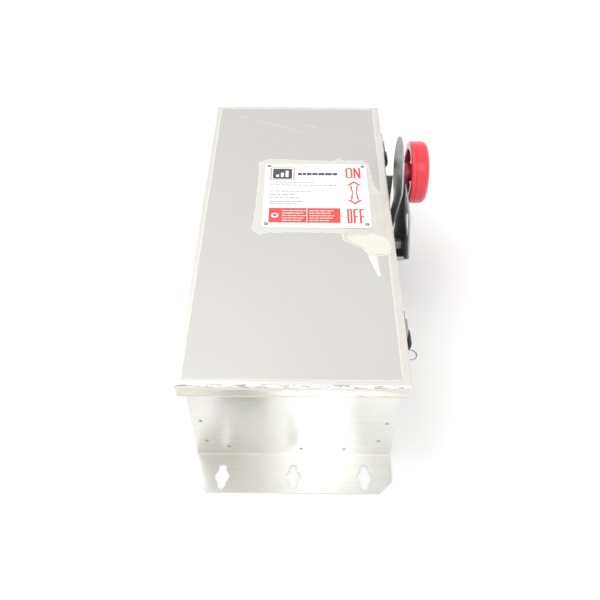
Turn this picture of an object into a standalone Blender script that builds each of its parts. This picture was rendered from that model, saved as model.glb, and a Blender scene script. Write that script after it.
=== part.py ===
"""Fused disconnect switch in a stainless enclosure, lying on its back.

+Z comes out of the front cover, +Y runs to the line (top) end and +X to the handle side. The origin
is the middle of the back mounting face. Sizes are in millimetres until they meet a mesh.
"""

import math

import bmesh
import bpy
from mathutils import Matrix, Vector

MM = 0.001
GAP = 0.3  # left between pieces that touch
SHEET = 1.6  # 16 gauge stainless
BEND = 2.4  # radius of a bend's middle line

# Enclosure
BODY_X = 100.2  # half width
BODY_Y = 223.2  # half length over the end walls
BODY_Z = 126.2  # height of the rim
RIM = 11.0
FLANGE = 43.9
CHAMFER = 14.0
KEYHOLE_X = 72.4
KEYHOLE_OUT = 26.3  # from the end wall's outer face
KEYHOLE_R = 7.7
SLOT_HALF = 4.25
KEYHOLE_HALF = 14.0
TAB = 14.0

# Cover
COVER_X = 108.0
COVER_Y = 230.9
COVER_TOP = 131.5
LIP = 17.0
CORNER = 2.0
GASKET = 9.6
PLATE_X = (-38.0, 84.0)
PLATE_Y = (-16.4, 100.0)
PLATE_T = 0.6

# Hinges
HINGE_X = -103.3
HINGE_Z = COVER_TOP - LIP
HINGE_Y = 150.0
LEAF_HALF = 22.0
LEAF_T = 1.2
KNUCKLE_R = 2.7
KNUCKLE_HALF = 10.0
HINGE_PIN_R = 1.2

# Handle
PIVOT_Y = 27.0
PIVOT_Z = 70.0
LEAN = math.radians(42.5)  # from straight out towards the line end, at ON
SWING = math.radians(88.0)
ARM = 85.5
SHAFT_R = 6.0
DISC_R = 42.0
HUB_R = 18.0
LEVER_T = 1.9
LEVER_IN = 113.0  # X of the lever's sheet at the hub
LEVER_OUT = 122.3  # and behind the knob
JOG = (20.0, 56.0)  # along the arm
KNOB_X = (133.0, 154.2)
KNOB_R = 37.0
LOCK_AT = (58.0, math.radians(-26.0))  # radius and lean where the padlock passes at OFF
LOCK_R = 4.2
BRACKET_Y = (-40.0, 97.0)
BRACKET_BASE = 30.0
CHEEK_IN = 101.4
CHEEK_OUT = 126.8
CHEEK_TOP = 140.0
CHEEK_FOOT = 98.0  # under this the bracket's near end slopes back
WALL_END = 112.0  # top of the cheek on the enclosure's wall
END_NEAR = (119.8, 110.0)  # X and Z that the folded ends reach
END_FAR = (118.0, 119.0)

# Latches
LATCH_Y = (-146.0, 162.0)
LATCH_PIN = (107.0, 72.0)
LATCH_HALF = 7.5
GRIP_HALF = 8.0
HOOK_X = 112.2
HOOK_Z = 119.4
RING_R = 6.0
RING_WIRE = 0.8
RING_Y = -164.5
RING_Z = 94.6
RING_EYE_X = 111.2

# Switch and fuses
ROTOR_Y = 82.0
POLES = (-55.0, -12.0, 31.0)
PITCH = 43.0
BASE_X = (-78.5, 54.5)
PAN_Z = 11.0
FLOOR_Z = 24.0
WALL_Z = 96.0
ROTOR_R = 9.0
BLADE_R = 48.0
BLADE_T = 3.0
CRANK = 22.0
CRANK_X = (66.0, 70.0)
LINK_X = (70.6, 73.6)
FUSE_Z = 50.0
FUSE_R = 10.3
FUSE_Y = (-98.0, 29.0)
CLIP_HALF = 6.0
LUG_HALF = 11.0


def clear():
    for obj in list(bpy.data.objects):
        bpy.data.objects.remove(obj, do_unlink=True)


def finish(name, colour, roughness, metallic):
    """A plain material."""
    material = bpy.data.materials.get(name) or bpy.data.materials.new(name)
    material.use_nodes = True
    shader = material.node_tree.nodes["Principled BSDF"]
    shader.inputs["Base Color"].default_value = (*colour, 1.0)
    shader.inputs["Roughness"].default_value = roughness
    shader.inputs["Metallic"].default_value = metallic
    return material


FINISHES = {
    "brushed": ((0.70, 0.70, 0.68), 0.35, 1.0),
    "film": ((0.72, 0.72, 0.70), 0.45, 0.9),
    "bright": ((0.62, 0.62, 0.60), 0.2, 1.0),
    "red": ((0.80, 0.03, 0.05), 0.35, 0.0),
    "black": ((0.02, 0.02, 0.02), 0.5, 0.0),
    "label": ((0.88, 0.88, 0.88), 0.4, 0.0),
    "rubber": ((0.05, 0.05, 0.05), 0.8, 0.0),
    "copper": ((0.80, 0.45, 0.30), 0.3, 1.0),
    "alloy": ((0.75, 0.75, 0.76), 0.4, 1.0),
    "zinc": ((0.55, 0.55, 0.52), 0.4, 1.0),
    "tube": ((0.35, 0.38, 0.30), 0.6, 0.0),
    "clear": ((0.60, 0.62, 0.62), 0.2, 0.0),
}


def piece(name, mesh, look):
    """A named object with its material, for one separate piece."""
    obj = bpy.data.objects.new(name, mesh)
    bpy.context.collection.objects.link(obj)
    if look:
        mesh.materials.append(finish(look, *FINISHES[look]))
    return obj


def solid(name, form, look, smooth=False):
    """Turns a bmesh in millimetres into a closed object in metres."""
    bmesh.ops.recalc_face_normals(form, faces=form.faces)
    bmesh.ops.scale(form, vec=(MM, MM, MM), verts=form.verts)
    mesh = bpy.data.meshes.new(name)
    form.to_mesh(mesh)
    form.free()
    if smooth:
        mesh.shade_smooth()
        mesh.set_sharp_from_angle(angle=math.radians(35))
    return piece(name, mesh, look)


def box(name, low, high, look=None):
    form = bmesh.new()
    middle = [(a + b) / 2 for a, b in zip(low, high)]
    size = [b - a for a, b in zip(low, high)]
    place = Matrix.Translation(middle) @ Matrix.Diagonal((*size, 1.0))
    bmesh.ops.create_cube(form, size=1.0, matrix=place)
    return solid(name, form, look)


def prism(name, outline, axis, low, high, look=None, smooth=False):
    """Extrudes an outline along X (points are y, z), Y (x, z) or Z (x, y)."""
    spots = {
        "X": lambda a, b: (low, a, b),
        "Y": lambda a, b: (a, low, b),
        "Z": lambda a, b: (a, b, low),
    }
    along = {"X": Vector((1, 0, 0)), "Y": Vector((0, 1, 0)), "Z": Vector((0, 0, 1))}[axis]
    form = bmesh.new()
    face = form.faces.new([form.verts.new(spots[axis](*point)) for point in outline])
    grown = bmesh.ops.extrude_face_region(form, geom=[face])
    moved = [v for v in grown["geom"] if isinstance(v, bmesh.types.BMVert)]
    bmesh.ops.translate(form, vec=along * (high - low), verts=moved)
    return solid(name, form, look, smooth)


def arc(centre, radius, start, end, steps):
    """Points on an arc, angles in degrees, both ends included."""
    angles = [math.radians(start + (end - start) * i / steps) for i in range(steps + 1)]
    return [(centre[0] + radius * math.cos(a), centre[1] + radius * math.sin(a)) for a in angles]


def disc(centre, radius, steps=24):
    return arc(centre, radius, 0, 360, steps)[:-1]


def bent(points, thickness=SHEET, radius=BEND, steps=3):
    """The outline of a bent strip whose middle line runs through the points."""
    left = []
    right = []

    def edge(spot, normal):
        left.append(spot + normal * thickness / 2)
        right.append(spot - normal * thickness / 2)

    spots = [Vector(point) for point in points]
    for i, spot in enumerate(spots):
        if i in (0, len(spots) - 1):
            other = spots[1] - spot if i == 0 else spot - spots[-2]
            other.normalize()
            edge(spot, Vector((-other.y, other.x)))
            continue
        back = (spots[i - 1] - spot).normalized()
        ahead = (spots[i + 1] - spot).normalized()
        half = back.angle(ahead) / 2
        centre = spot + (back + ahead).normalized() * radius / math.sin(half)
        first = spot + back * radius / math.tan(half) - centre
        turn = math.pi - 2 * half
        side = -1 if back.cross(ahead) > 0 else 1
        for step in range(steps + 1):
            arm = Matrix.Rotation(side * turn * step / steps, 2) @ first
            edge(centre + arm, -side * arm.normalized())
    return [tuple(p) for p in left + right[::-1]]


def turned(name, profile, axis, centre, look=None, steps=24):
    """Spins closed profile points (radius, place along the axis) round X or Y."""
    form = bmesh.new()
    rings = []
    for i in range(steps):
        angle = 2 * math.pi * i / steps
        ring = []
        for radius, along in profile:
            a = centre[0] + radius * math.cos(angle)
            b = centre[1] + radius * math.sin(angle)
            spot = (along, a, b) if axis == "X" else (a, along, b)
            ring.append(form.verts.new(spot))
        rings.append(ring)
    for ring, following in zip(rings, rings[1:] + rings[:1]):
        for j in range(len(profile)):
            k = (j + 1) % len(profile)
            form.faces.new((ring[j], ring[k], following[k], following[j]))
    bmesh.ops.remove_doubles(form, verts=form.verts, dist=0.001)
    return solid(name, form, look, smooth=True)


def change(obj, other, operation="DIFFERENCE"):
    """Cuts, joins or crops an object with a helper, which stays out of the model."""
    step = obj.modifiers.new(other.name, "BOOLEAN")
    step.operation = operation
    step.solver = "EXACT"
    step.object = other
    other.hide_render = True
    other.display_type = "WIRE"
    other.parent = obj
    return obj


def keyhole(centre):
    """A round hole with a slot on both of its sides, along Y."""
    x, y = centre
    corner = math.degrees(math.acos(SLOT_HALF / KEYHOLE_R))
    reach = KEYHOLE_HALF - SLOT_HALF
    outline = arc(centre, KEYHOLE_R, -corner, corner, 6)
    outline += arc((x, y + reach), SLOT_HALF, 0, 180, 6)
    outline += arc(centre, KEYHOLE_R, 180 - corner, 180 + corner, 6)
    outline += arc((x, y - reach), SLOT_HALF, 180, 360, 6)
    return outline


def enclosure():
    side = BODY_X - SHEET / 2
    inner = BODY_Y - SHEET - GAP
    rim = BODY_Z - SHEET / 2
    path = [(RIM - BODY_X, rim), (-side, rim), (-side, SHEET / 2), (side, SHEET / 2), (side, rim)]
    wrapper = prism("wrapper", bent(path + [(BODY_X - RIM, rim)]), "Y", -inner, inner, "brushed")
    for end in (-1, 1):
        for hand in (-1, 1):
            ys = sorted((end * inner, end * (inner - SHEET)))
            xs = sorted((hand * (BODY_X - SHEET / 2), hand * (BODY_X - TAB)))
            tab = box(f"tab_{end}_{hand}", (xs[0], ys[0], 12.0), (xs[1], ys[1], BODY_Z - 10.0))
            change(wrapper, tab, "UNION")
    bore = prism("wall_bore", disc((PIVOT_Y, PIVOT_Z), 10.4), "X", 90.0, 110.0)
    change(wrapper, bore)
    end_panel("bottom_end_panel", -1)
    end_panel("top_end_panel", 1)


def end_panel(name, end):
    """The end wall and the mounting flange, one bent sheet."""
    wall = end * (BODY_Y - SHEET / 2)
    tip = end * (BODY_Y + FLANGE)
    rim = BODY_Z - SHEET / 2
    path = [(tip, SHEET / 2), (wall, SHEET / 2), (wall, rim), (end * (BODY_Y - RIM), rim)]
    panel = prism(name, bent(path), "X", -BODY_X, BODY_X, "brushed")
    for hand in (-1, 1):
        xs = sorted((hand * (BODY_X - RIM - GAP), hand * (BODY_X + 5.0)))
        ys = sorted((end * (BODY_Y - RIM - 5.0), end * (BODY_Y - SHEET - GAP / 2)))
        low = (xs[0], ys[0], BODY_Z - 8.0)
        change(panel, box(f"{name}_rim_{hand}", low, (xs[1], ys[1], BODY_Z + 5.0)))
        corner = [
            (hand * (BODY_X - CHAMFER), tip),
            (hand * BODY_X, tip - end * CHAMFER),
            (hand * (BODY_X + CHAMFER), tip - end * CHAMFER),
            (hand * (BODY_X + CHAMFER), tip + end * CHAMFER),
            (hand * (BODY_X - CHAMFER), tip + end * CHAMFER),
        ]
        change(panel, prism(f"{name}_corner_{hand}", corner, "Z", -5.0, 5.0))
    for column in (-1, 0, 1):
        hole = keyhole((column * KEYHOLE_X, end * (BODY_Y + KEYHOLE_OUT)))
        change(panel, prism(f"{name}_keyhole_{column}", hole, "Z", -5.0, 5.0))


def cover():
    form = bmesh.new()
    size = (2 * COVER_X, 2 * COVER_Y, LIP)
    place = Matrix.Translation((0, 0, COVER_TOP - LIP / 2)) @ Matrix.Diagonal((*size, 1.0))
    bmesh.ops.create_cube(form, size=1.0, matrix=place)
    bottom = [f for f in form.faces if f.normal.z < -0.9]
    bmesh.ops.delete(form, geom=bottom, context="FACES")
    edges = [e for e in form.edges if not e.is_boundary]
    bmesh.ops.bevel(form, geom=edges, offset=CORNER, segments=3, profile=0.5, affect="EDGES")
    pan = solid("cover", form, "film", smooth=True)
    wall = pan.modifiers.new("wall", "SOLIDIFY")
    wall.thickness = SHEET * MM
    wall.offset = -1.0
    wall.use_even_offset = True
    under = COVER_TOP - SHEET - GAP
    outer = (BODY_X - 1.3, BODY_Y - 1.3)
    low = (-outer[0], -outer[1], BODY_Z + GAP)
    seal = box("gasket", low, (outer[0], outer[1], under), "rubber")
    inner = (outer[0] - GASKET, outer[1] - GASKET)
    hole = box("gasket_hole", (-inner[0], -inner[1], 100.0), (inner[0], inner[1], 150.0))
    change(seal, hole)
    plate = []
    for x, y, start in (
        (PLATE_X[1], PLATE_Y[1], 0),
        (PLATE_X[0], PLATE_Y[1], 90),
        (PLATE_X[0], PLATE_Y[0], 180),
        (PLATE_X[1], PLATE_Y[0], 270),
    ):
        inset = 4.0
        centre = (x - inset if x > 0 else x + inset, y - inset if y > 0 else y + inset)
        plate += arc(centre, inset, start, start + 90, 4)
    low = COVER_TOP + GAP
    prism("nameplate", plate, "Z", low, low + PLATE_T, "label")


def knuckle_leaf(turn):
    """A leaf that hangs from its pin's barrel; a half turn makes it the cover's."""
    angle = math.degrees(math.acos((KNUCKLE_R - LEAF_T) / KNUCKLE_R))
    length = 22.0 if turn > 0 else 13.2
    outline = [(KNUCKLE_R, -length)] + arc((0, 0), KNUCKLE_R, 0, 360 - angle, 14)
    outline += [(KNUCKLE_R - LEAF_T, -length)]
    return [(HINGE_X + turn * a, HINGE_Z + turn * b) for a, b in outline]


def hinge(number, y):
    low = y - LEAF_HALF
    high = y + LEAF_HALF
    split = KNUCKLE_HALF
    bore = disc((HINGE_X, HINGE_Z), HINGE_PIN_R + 0.3, 12)
    leaf = prism(f"hinge_body_leaf_{number}", knuckle_leaf(1), "Y", low, high, "bright")
    gap = 2 * GAP
    notch_low = (HINGE_X - 9, y - split - gap / 2, HINGE_Z - KNUCKLE_R - gap)
    notch = box(f"body_notch_{number}", notch_low, (HINGE_X + 9, y + split + gap / 2, 140.0))
    change(leaf, notch)
    change(leaf, prism(f"body_bore_{number}", bore, "Y", low - 5, high + 5))
    wing = prism(f"hinge_cover_leaf_{number}", knuckle_leaf(-1), "Y", low, high, "bright")
    for side in (-1, 1):
        ys = sorted((y + side * (split - gap / 2), y + side * (LEAF_HALF + 5)))
        top = HINGE_Z + KNUCKLE_R + gap
        cut = box(f"wing_cut_{number}_{side}", (HINGE_X - 9, ys[0], 100.0), (HINGE_X + 9, ys[1], top))
        change(wing, cut)
    change(wing, prism(f"wing_bore_{number}", bore, "Y", low - 5, high + 5))
    pin = [(0, low - 1), (HINGE_PIN_R, low - 1), (HINGE_PIN_R, high + 1), (0, high + 1)]
    turned(f"hinge_pin_{number}", pin, "Y", (HINGE_X, HINGE_Z), "bright", 10)


def arm_frame(obj, lean=LEAN):
    """Turns a handle piece, drawn straight out from the pivot, to its lean at ON."""
    pivot = Vector((0, PIVOT_Y, PIVOT_Z)) * MM
    turn = Matrix.Rotation(-lean, 4, "X")
    obj.data.transform(Matrix.Translation(pivot) @ turn @ Matrix.Translation(-pivot))
    return obj


def bracket():
    """A folded channel with ends, open at the front for the lever's swing."""
    web = BRACKET_BASE + SHEET / 2
    path = [(CHEEK_IN, WALL_END), (CHEEK_IN, web), (CHEEK_OUT, web), (CHEEK_OUT, CHEEK_TOP)]
    channel = prism("handle_bracket", bent(path), "Y", *BRACKET_Y, "bright")
    for side, name in ((-1, "near"), (1, "far")):
        foot = PIVOT_Y + side * 57.0
        shoulder = PIVOT_Y + side * 35.0
        top = PIVOT_Y + side * 25.0
        away = PIVOT_Y + side * 100.0
        slope = [(foot, 0.0), (foot, 104.0), (shoulder, CHEEK_TOP - 6.0), (top, CHEEK_TOP)]
        slope += [(top, 160.0), (away, 160.0), (away, 0.0)]
        change(channel, prism(f"bracket_slope_{name}", slope, "X", 123.0, 132.0))
    near, far = BRACKET_Y
    ends = ((near, near + SHEET, *END_NEAR), (far - SHEET, far, *END_FAR))
    for low, high, reach, top in ends:
        end = box(f"bracket_end_{low:.0f}", (CHEEK_IN, low, web), (reach, high, top))
        change(channel, end, "UNION")
    foot = PIVOT_Y - 57.0
    strap = END_NEAR[1] - 4.5
    under = [(near - 20.0, strap), (near + 4.0, strap), (near + 4.0, CHEEK_FOOT), (foot, CHEEK_FOOT)]
    under += [(foot + 72.0, CHEEK_FOOT - 69.0)]
    under += [(foot + 72.0, 20.0), (near - 20.0, 20.0)]
    change(channel, prism("bracket_undercut", under, "X", 95.0, 135.0))
    lip_gap = box("bracket_lip_gap", (98.0, near - 5, HINGE_Z - 2.0), (COVER_X + 2.0, far + 5, 125.0))
    change(channel, lip_gap)
    change(channel, prism("bracket_seat", disc((PIVOT_Y, PIVOT_Z), 10.4), "X", 95.0, 105.0))
    change(channel, prism("bracket_bearing", disc((PIVOT_Y, PIVOT_Z), SHAFT_R + 0.4), "X", 122.0, 130.0))
    window = [(20.0, 122.0), (6.0, 136.0), (-12.0, 118.0), (-6.0, 112.0), (12.0, 113.0)]
    change(channel, prism("bracket_lock", window, "X", 122.0, 130.0))


def lever():
    """A jogged sheet lever: a hub inside the bracket and a round plate behind the knob."""
    hub = PIVOT_Z
    path = [
        (LEVER_IN, hub - 30.0),
        (LEVER_IN, hub + JOG[0]),
        (LEVER_OUT, hub + JOG[1]),
        (LEVER_OUT, hub + ARM + 80.0),
    ]
    strip = bent(path, LEVER_T, 3.5)
    arm = prism("handle_lever", strip, "Y", PIVOT_Y - 70.0, PIVOT_Y + 70.0, "bright", True)
    tangent = math.degrees(math.asin((DISC_R - HUB_R) / ARM))
    outline = arc((PIVOT_Y, hub + ARM), DISC_R, -tangent, 180 + tangent, 26)
    outline += arc((PIVOT_Y, hub), HUB_R, 180 + tangent, 360 - tangent, 8)
    crop = arm_frame(prism("lever_outline", outline, "X", 100.0, 140.0))
    change(arm_frame(arm), crop, "INTERSECT")
    change(arm, prism("lever_bore", disc((PIVOT_Y, hub), SHAFT_R + GAP), "X", 100.0, 130.0))
    radius, lean = LOCK_AT
    at = lean + SWING
    lock = (PIVOT_Y + radius * math.sin(at), hub + radius * math.cos(at))
    change(arm, prism("lever_lock", disc(lock, LOCK_R, 12), "X", 100.0, 140.0))


def handle():
    centre = (PIVOT_Y, PIVOT_Z)
    grip = (PIVOT_Y + ARM * math.sin(LEAN), PIVOT_Z + ARM * math.cos(LEAN))
    bracket()
    lever()
    shaft = [(0, 64.0), (SHAFT_R, 64.0), (SHAFT_R, 129.5), (SHAFT_R - 1, 130.5), (0, 130.5)]
    turned("handle_shaft", shaft, "X", centre, "zinc", 20)
    bore = SHAFT_R + 0.4
    bush = [(bore, 96.9), (14.0, 96.9), (14.0, 98.3), (10.0, 98.3), (10.0, 105.0), (bore, 105.0)]
    turned("shaft_bushing", bush, "X", centre, "black")
    seal = [(bore, 105.3), (9.4, 105.3), (9.9, 106.0), (9.9, 108.0), (9.0, 109.0), (bore, 109.0)]
    turned("shaft_seal", seal, "X", centre, "rubber")
    inner, outer = KNOB_X
    r = KNOB_R
    knob = [(0, outer - 2), (14, outer - 1.2), (r - 9, outer)]
    knob += [(across, along) for along, across in arc((outer - 7, r - 7), 7.0, 0, 90, 5)]
    knob += [(r, inner + 4), (r - 1.2, inner + 1), (r - 4, inner)]
    knob += [(r - 10, inner), (r - 11, inner + 15), (15, inner + 15), (13.5, inner + 3), (0, inner + 3)]
    turned("knob", knob, "X", grip, "red", 36)
    inner_face = LEVER_OUT + LEVER_T / 2 + GAP
    stud = [(0, inner_face), (9, inner_face), (9, inner + 3 - GAP), (0, inner + 3 - GAP)]
    turned("knob_stud", stud, "X", grip, "zinc", 16)


def latch(number, y):
    """A spring latch: base, hooked lever, plastic grip and pin, with its strike on the lip."""
    pin_x, pin_z = LATCH_PIN
    wide = LATCH_HALF + 3.0
    wall = BODY_X + GAP + 0.6
    path = [(pin_x + 5.5, y - wide), (wall, y - wide), (wall, y + wide), (pin_x + 5.5, y + wide)]
    base = prism(f"latch_base_{number}", bent(path, 1.2, 1.5), "Z", 56.0, 88.0, "bright")
    pin_hole = disc((pin_x, pin_z), 2.0 + GAP, 10)
    change(base, prism(f"base_hole_{number}", pin_hole, "Y", y - 20, y + 20))
    if number == 1:
        foot = box("ring_foot", (wall - 0.6, RING_Y - 2.0, 66.0), (wall + 0.6, y - wide + 2.0, 86.0))
        change(base, foot, "UNION")
        ear = box("ring_ear", (wall, RING_Y - 0.6, 84.0), (RING_EYE_X + 3.4, RING_Y + 0.6, RING_Z + 4.0))
        change(base, ear, "UNION")
        eye = disc((RING_EYE_X, RING_Z), 2.2, 10)
        change(base, prism("ring_eye", eye, "Y", RING_Y - 5, RING_Y + 5))
    strip = [(pin_x, pin_z + 3.2), (HOOK_X, 79.0), (HOOK_X, HOOK_Z), (HOOK_X - 1.2, HOOK_Z)]
    strip = bent(strip, 1.4, 1.0, 2)
    hook = prism(f"latch_lever_{number}", strip, "Y", y - LATCH_HALF, y + LATCH_HALF, "bright")
    curl = prism(f"curl_{number}", disc((pin_x, pin_z), 4.2, 14), "Y", y - LATCH_HALF, y + LATCH_HALF)
    change(hook, curl, "UNION")
    change(hook, prism(f"hook_bore_{number}", disc((pin_x, pin_z), 2.3, 10), "Y", y - 20, y + 20))
    face = HOOK_X + 0.7 + GAP
    grip = [(face, 86.0), (face + 3.4, 87.0), (face + 5.4, 92.0), (face + 5.4, 98.0)]
    grip += [(face + 3.6, 104.0), (face, 105.0)]
    block = prism(f"latch_grip_{number}", grip, "Y", y - GRIP_HALF, y + GRIP_HALF, "black")
    soften(block, 1.6)
    reach = wide + 1.5
    rod = [(0, y - reach), (2.0, y - reach), (2.0, y + reach), (0, y + reach)]
    turned(f"latch_pin_{number}", rod, "Y", LATCH_PIN, "zinc", 10)
    lip = COVER_X + GAP
    catch = [(lip, 115.0), (lip + 2.2, 115.0), (lip + 2.2, 116.6), (lip + 1.2, 117.6)]
    catch += [(lip + 1.2, 127.0), (lip, 127.0)]
    prism(f"strike_{number}", catch, "Y", y - 12.0, y + 12.0, "bright")


def soften(obj, width):
    edge = obj.modifiers.new("edge", "BEVEL")
    edge.width = width * MM
    edge.segments = 2
    edge.limit_method = "ANGLE"


def latch_ring():
    """A wire ring through the eye on the lower latch's base."""
    centre = Vector((RING_EYE_X + RING_R - 0.6, RING_Y, RING_Z))
    form = bmesh.new()
    around = 16
    across = 6
    rings = []
    for i in range(around):
        a = 2 * math.pi * i / around
        out = Vector((math.cos(a), math.sin(a), 0))
        ring = []
        for j in range(across):
            b = 2 * math.pi * j / across
            offset = out * (RING_R + RING_WIRE * math.cos(b))
            ring.append(form.verts.new(centre + offset + Vector((0, 0, RING_WIRE * math.sin(b)))))
        rings.append(ring)
    for ring, following in zip(rings, rings[1:] + rings[:1]):
        for j in range(across):
            k = (j + 1) % across
            form.faces.new((ring[j], ring[k], following[k], following[j]))
    solid("latch_ring", form, "bright", smooth=True)


def switch_base():
    low = PAN_Z + SHEET / 2 + GAP
    pan_path = [(-91, 2.7), (-80, 2.7), (-80, PAN_Z), (80, PAN_Z), (80, 2.7), (91, 2.7)]
    prism("mounting_pan", bent(pan_path), "Y", -165.0, 207.0, "zinc")
    left, right = BASE_X
    base = box("switch_base", (left, 48.0, low), (right, 205.0, FLOOR_Z), "black")
    for i in range(4):
        x = POLES[0] + PITCH * (i - 0.5)
        outline = [(50.0, FLOOR_Z - 4), (50.0, WALL_Z), (132.0, WALL_Z), (134.0, 60.0)]
        outline += [(204.0, 60.0), (204.0, FLOOR_Z - 4)]
        wall = prism(f"barrier_{i}", outline, "X", x - 2.0, x + 2.0)
        change(base, wall, "UNION")
    width = ROTOR_R + 0.6
    notch = [(ROTOR_Y - width, 150.0)] + arc((ROTOR_Y, PIVOT_Z), width, 180, 360, 10)
    notch += [(ROTOR_Y + width, 150.0)]
    change(base, prism("rotor_notch", notch, "X", left - 5, right + 5))
    shield = [(137.0, 84.0), (137.0, 62.6), (203.0, 62.6)]
    prism("line_shield", bent(shield, 1.5, 2.2), "X", left + 2, right - 2, "clear")


def crank_pin(y):
    """Where a crank's pin is at ON; the throw swings evenly either side of straight back."""
    half = SWING / 2
    return (y - CRANK * math.sin(half), PIVOT_Z - CRANK * math.cos(half))


def crank_outline(y, hub):
    spot = crank_pin(y)
    aim = math.degrees(math.atan2(spot[1] - PIVOT_Z, spot[0] - y))
    outline = arc((y, PIVOT_Z), hub, aim + 80, aim + 280, 12)
    outline += arc(spot, 6.0, aim - 80, aim + 80, 8)
    return outline


def rotor():
    right = CRANK_X[0] - 1.0
    centre = (ROTOR_Y, PIVOT_Z)
    bar = [(0, -76.0), (ROTOR_R, -76.0), (ROTOR_R, right), (0, right)]
    rod = turned("rotor_bar", bar, "X", centre, "black", 16)
    arm = prism("rotor_crank", crank_outline(ROTOR_Y, 12.0), "X", right - 5.0, right + 0.6)
    change(rod, arm, "UNION")
    pin = prism("rotor_crank_pin", disc(crank_pin(ROTOR_Y), 2.5, 12), "X", right - 2.0, LINK_X[1] + 1)
    change(rod, pin, "UNION")
    for i, x in enumerate(POLES, 1):
        outline = [(ROTOR_Y, PIVOT_Z + 7), (ROTOR_Y, PIVOT_Z - 7)]
        outline += arc((ROTOR_Y + BLADE_R - 7, PIVOT_Z), 7.0, -90, 90, 6)
        half = BLADE_T / 2
        blade = prism(f"blade_{i}", outline, "X", x - half, x + half, "copper")
        ring = prism(f"blade_ring_{i}", disc(centre, 14.0, 18), "X", x - half - 2, x + half + 2)
        change(blade, ring, "UNION")
        change(blade, prism(f"blade_bore_{i}", disc(centre, ROTOR_R + GAP, 16), "X", x - 9, x + 9))


def drive():
    centre = (PIVOT_Y, PIVOT_Z)
    crank = prism("drive_crank", crank_outline(PIVOT_Y, 11.0), "X", *CRANK_X, "zinc")
    change(crank, prism("crank_bore", disc(centre, SHAFT_R + GAP, 20), "X", 60.0, 75.0))
    spot = crank_pin(PIVOT_Y)
    pin = prism("crank_pin", disc(spot, 2.5, 12), "X", CRANK_X[0] + 1, LINK_X[1] + 1)
    change(crank, pin, "UNION")
    end = crank_pin(ROTOR_Y)
    outline = arc(end, 5.5, -90, 90, 8) + arc(spot, 5.5, 90, 270, 8)
    link = prism("drive_link", outline, "X", *LINK_X, "zinc")
    change(link, prism("link_eye", disc(spot, 2.8, 12), "X", 60.0, 80.0))
    change(link, prism("link_far_eye", disc(end, 2.9, 12), "X", 60.0, 80.0))
    low = PAN_Z + SHEET / 2 + GAP + 0.8
    path = [(60.0, low), (78.0, low), (78.0, low + 76.0)]
    plate = prism("mechanism_plate", bent(path, SHEET), "Y", 2.0, 58.0, "zinc")
    change(plate, prism("plate_bearing", disc(centre, SHAFT_R + 0.4, 20), "X", 74.0, 82.0))


def terminals():
    low = FLOOR_Z + GAP
    for i, x in enumerate(POLES, 1):
        jaw = [(x - 5, low), (x + 5, low), (x + 5, 80.0), (x + 1.9, 80.0), (x + 1.9, 58.0)]
        jaw += [(x - 1.9, 58.0), (x - 1.9, 80.0), (x - 5, 80.0)]
        clip = prism(f"line_jaw_{i}", jaw, "Y", 112.0, 130.0, "copper")
        tongue = box(f"tongue_{i}", (x - 8, 114.0, low), (x + 8, 184.0, low + 3.0))
        change(clip, tongue, "UNION")
        lug(f"line_lug_{i}", x, 150.0, 178.0, low + 3.0 + GAP, 52.0)
        lug(f"load_lug_{i}", x, -148.0, -122.0, 29.6, 54.0)


def lug(name, x, near, far, low, top):
    """A wire block with its clamping screw."""
    block = box(name, (x - LUG_HALF, near, low), (x + LUG_HALF, far, top), "alloy")
    middle = (near + far) / 2
    screw = prism(f"{name}_screw", disc((x, middle), 6.0, 12), "Z", top - 6.0, top + 3.5)
    change(block, screw, "UNION")
    socket = prism(f"{name}_socket", disc((x, middle), 3.0, 6), "Z", top + 0.5, top + 8.0)
    change(block, socket)
    wire = prism(f"{name}_wire", disc((x, (low + top) / 2), 6.5, 16), "Y", near - 5, far + 5)
    change(block, wire)


def fuses():
    left, right = BASE_X
    low = PAN_Z + SHEET / 2 + GAP
    base = box("fuse_base", (left, -152.0, low), (right, 40.0, FLOOR_Z), "black")
    for i in (1, 2):
        x = POLES[0] + PITCH * (i - 0.5)
        rib = box(f"fuse_rib_{i}", (x - 2, -150.0, FLOOR_Z - 4), (x + 2, 38.0, 62.0))
        change(base, rib, "UNION")
    foot = FLOOR_Z + GAP
    for i, x in enumerate(POLES, 1):
        for end, y in (("line", FUSE_Y[1] - 8.0), ("load", FUSE_Y[0] + 8.0)):
            clip = fuse_clip(f"{end}_fuse_clip_{i}", x, y)
            lows = {"line": (x - 8, y - 8, foot), "load": (x - 8, -150.0, foot)}[end]
            highs = {"line": (x + 8, y + 14, foot + 3), "load": (x + 8, y + 8, foot + 3)}[end]
            change(clip, box(f"{end}_bar_{i}", lows, highs), "UNION")
        body = FUSE_R - 0.8
        a, b = FUSE_Y
        tube = [(0, a), (FUSE_R - 1, a), (FUSE_R, a + 1), (FUSE_R, a + 16), (body, a + 16)]
        tube += [(body, b - 16), (FUSE_R, b - 16), (FUSE_R, b - 1), (FUSE_R - 1, b), (0, b)]
        turned(f"fuse_{i}", tube, "Y", (x, FUSE_Z), "tube", 20)


def fuse_clip(name, x, y):
    """A spring cradle, open upwards, on a post."""
    inner = FUSE_R + GAP
    outer = inner + 1.4
    cup = [(x + inner, FUSE_Z + 14), (x + outer, FUSE_Z + 14)]
    cup += [(a, b) for a, b in arc((x, FUSE_Z), outer, 0, -180, 12)]
    cup += [(x - outer, FUSE_Z + 14), (x - inner, FUSE_Z + 14)]
    cup += [(a, b) for a, b in arc((x, FUSE_Z), inner, -180, 0, 12)]
    clip = prism(name, cup, "Y", y - CLIP_HALF, y + CLIP_HALF, "copper")
    post = box(f"{name}_post", (x - 5, y - 5, FLOOR_Z + 1), (x + 5, y + 5, FUSE_Z - inner - 0.5))
    return change(clip, post, "UNION")


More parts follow.
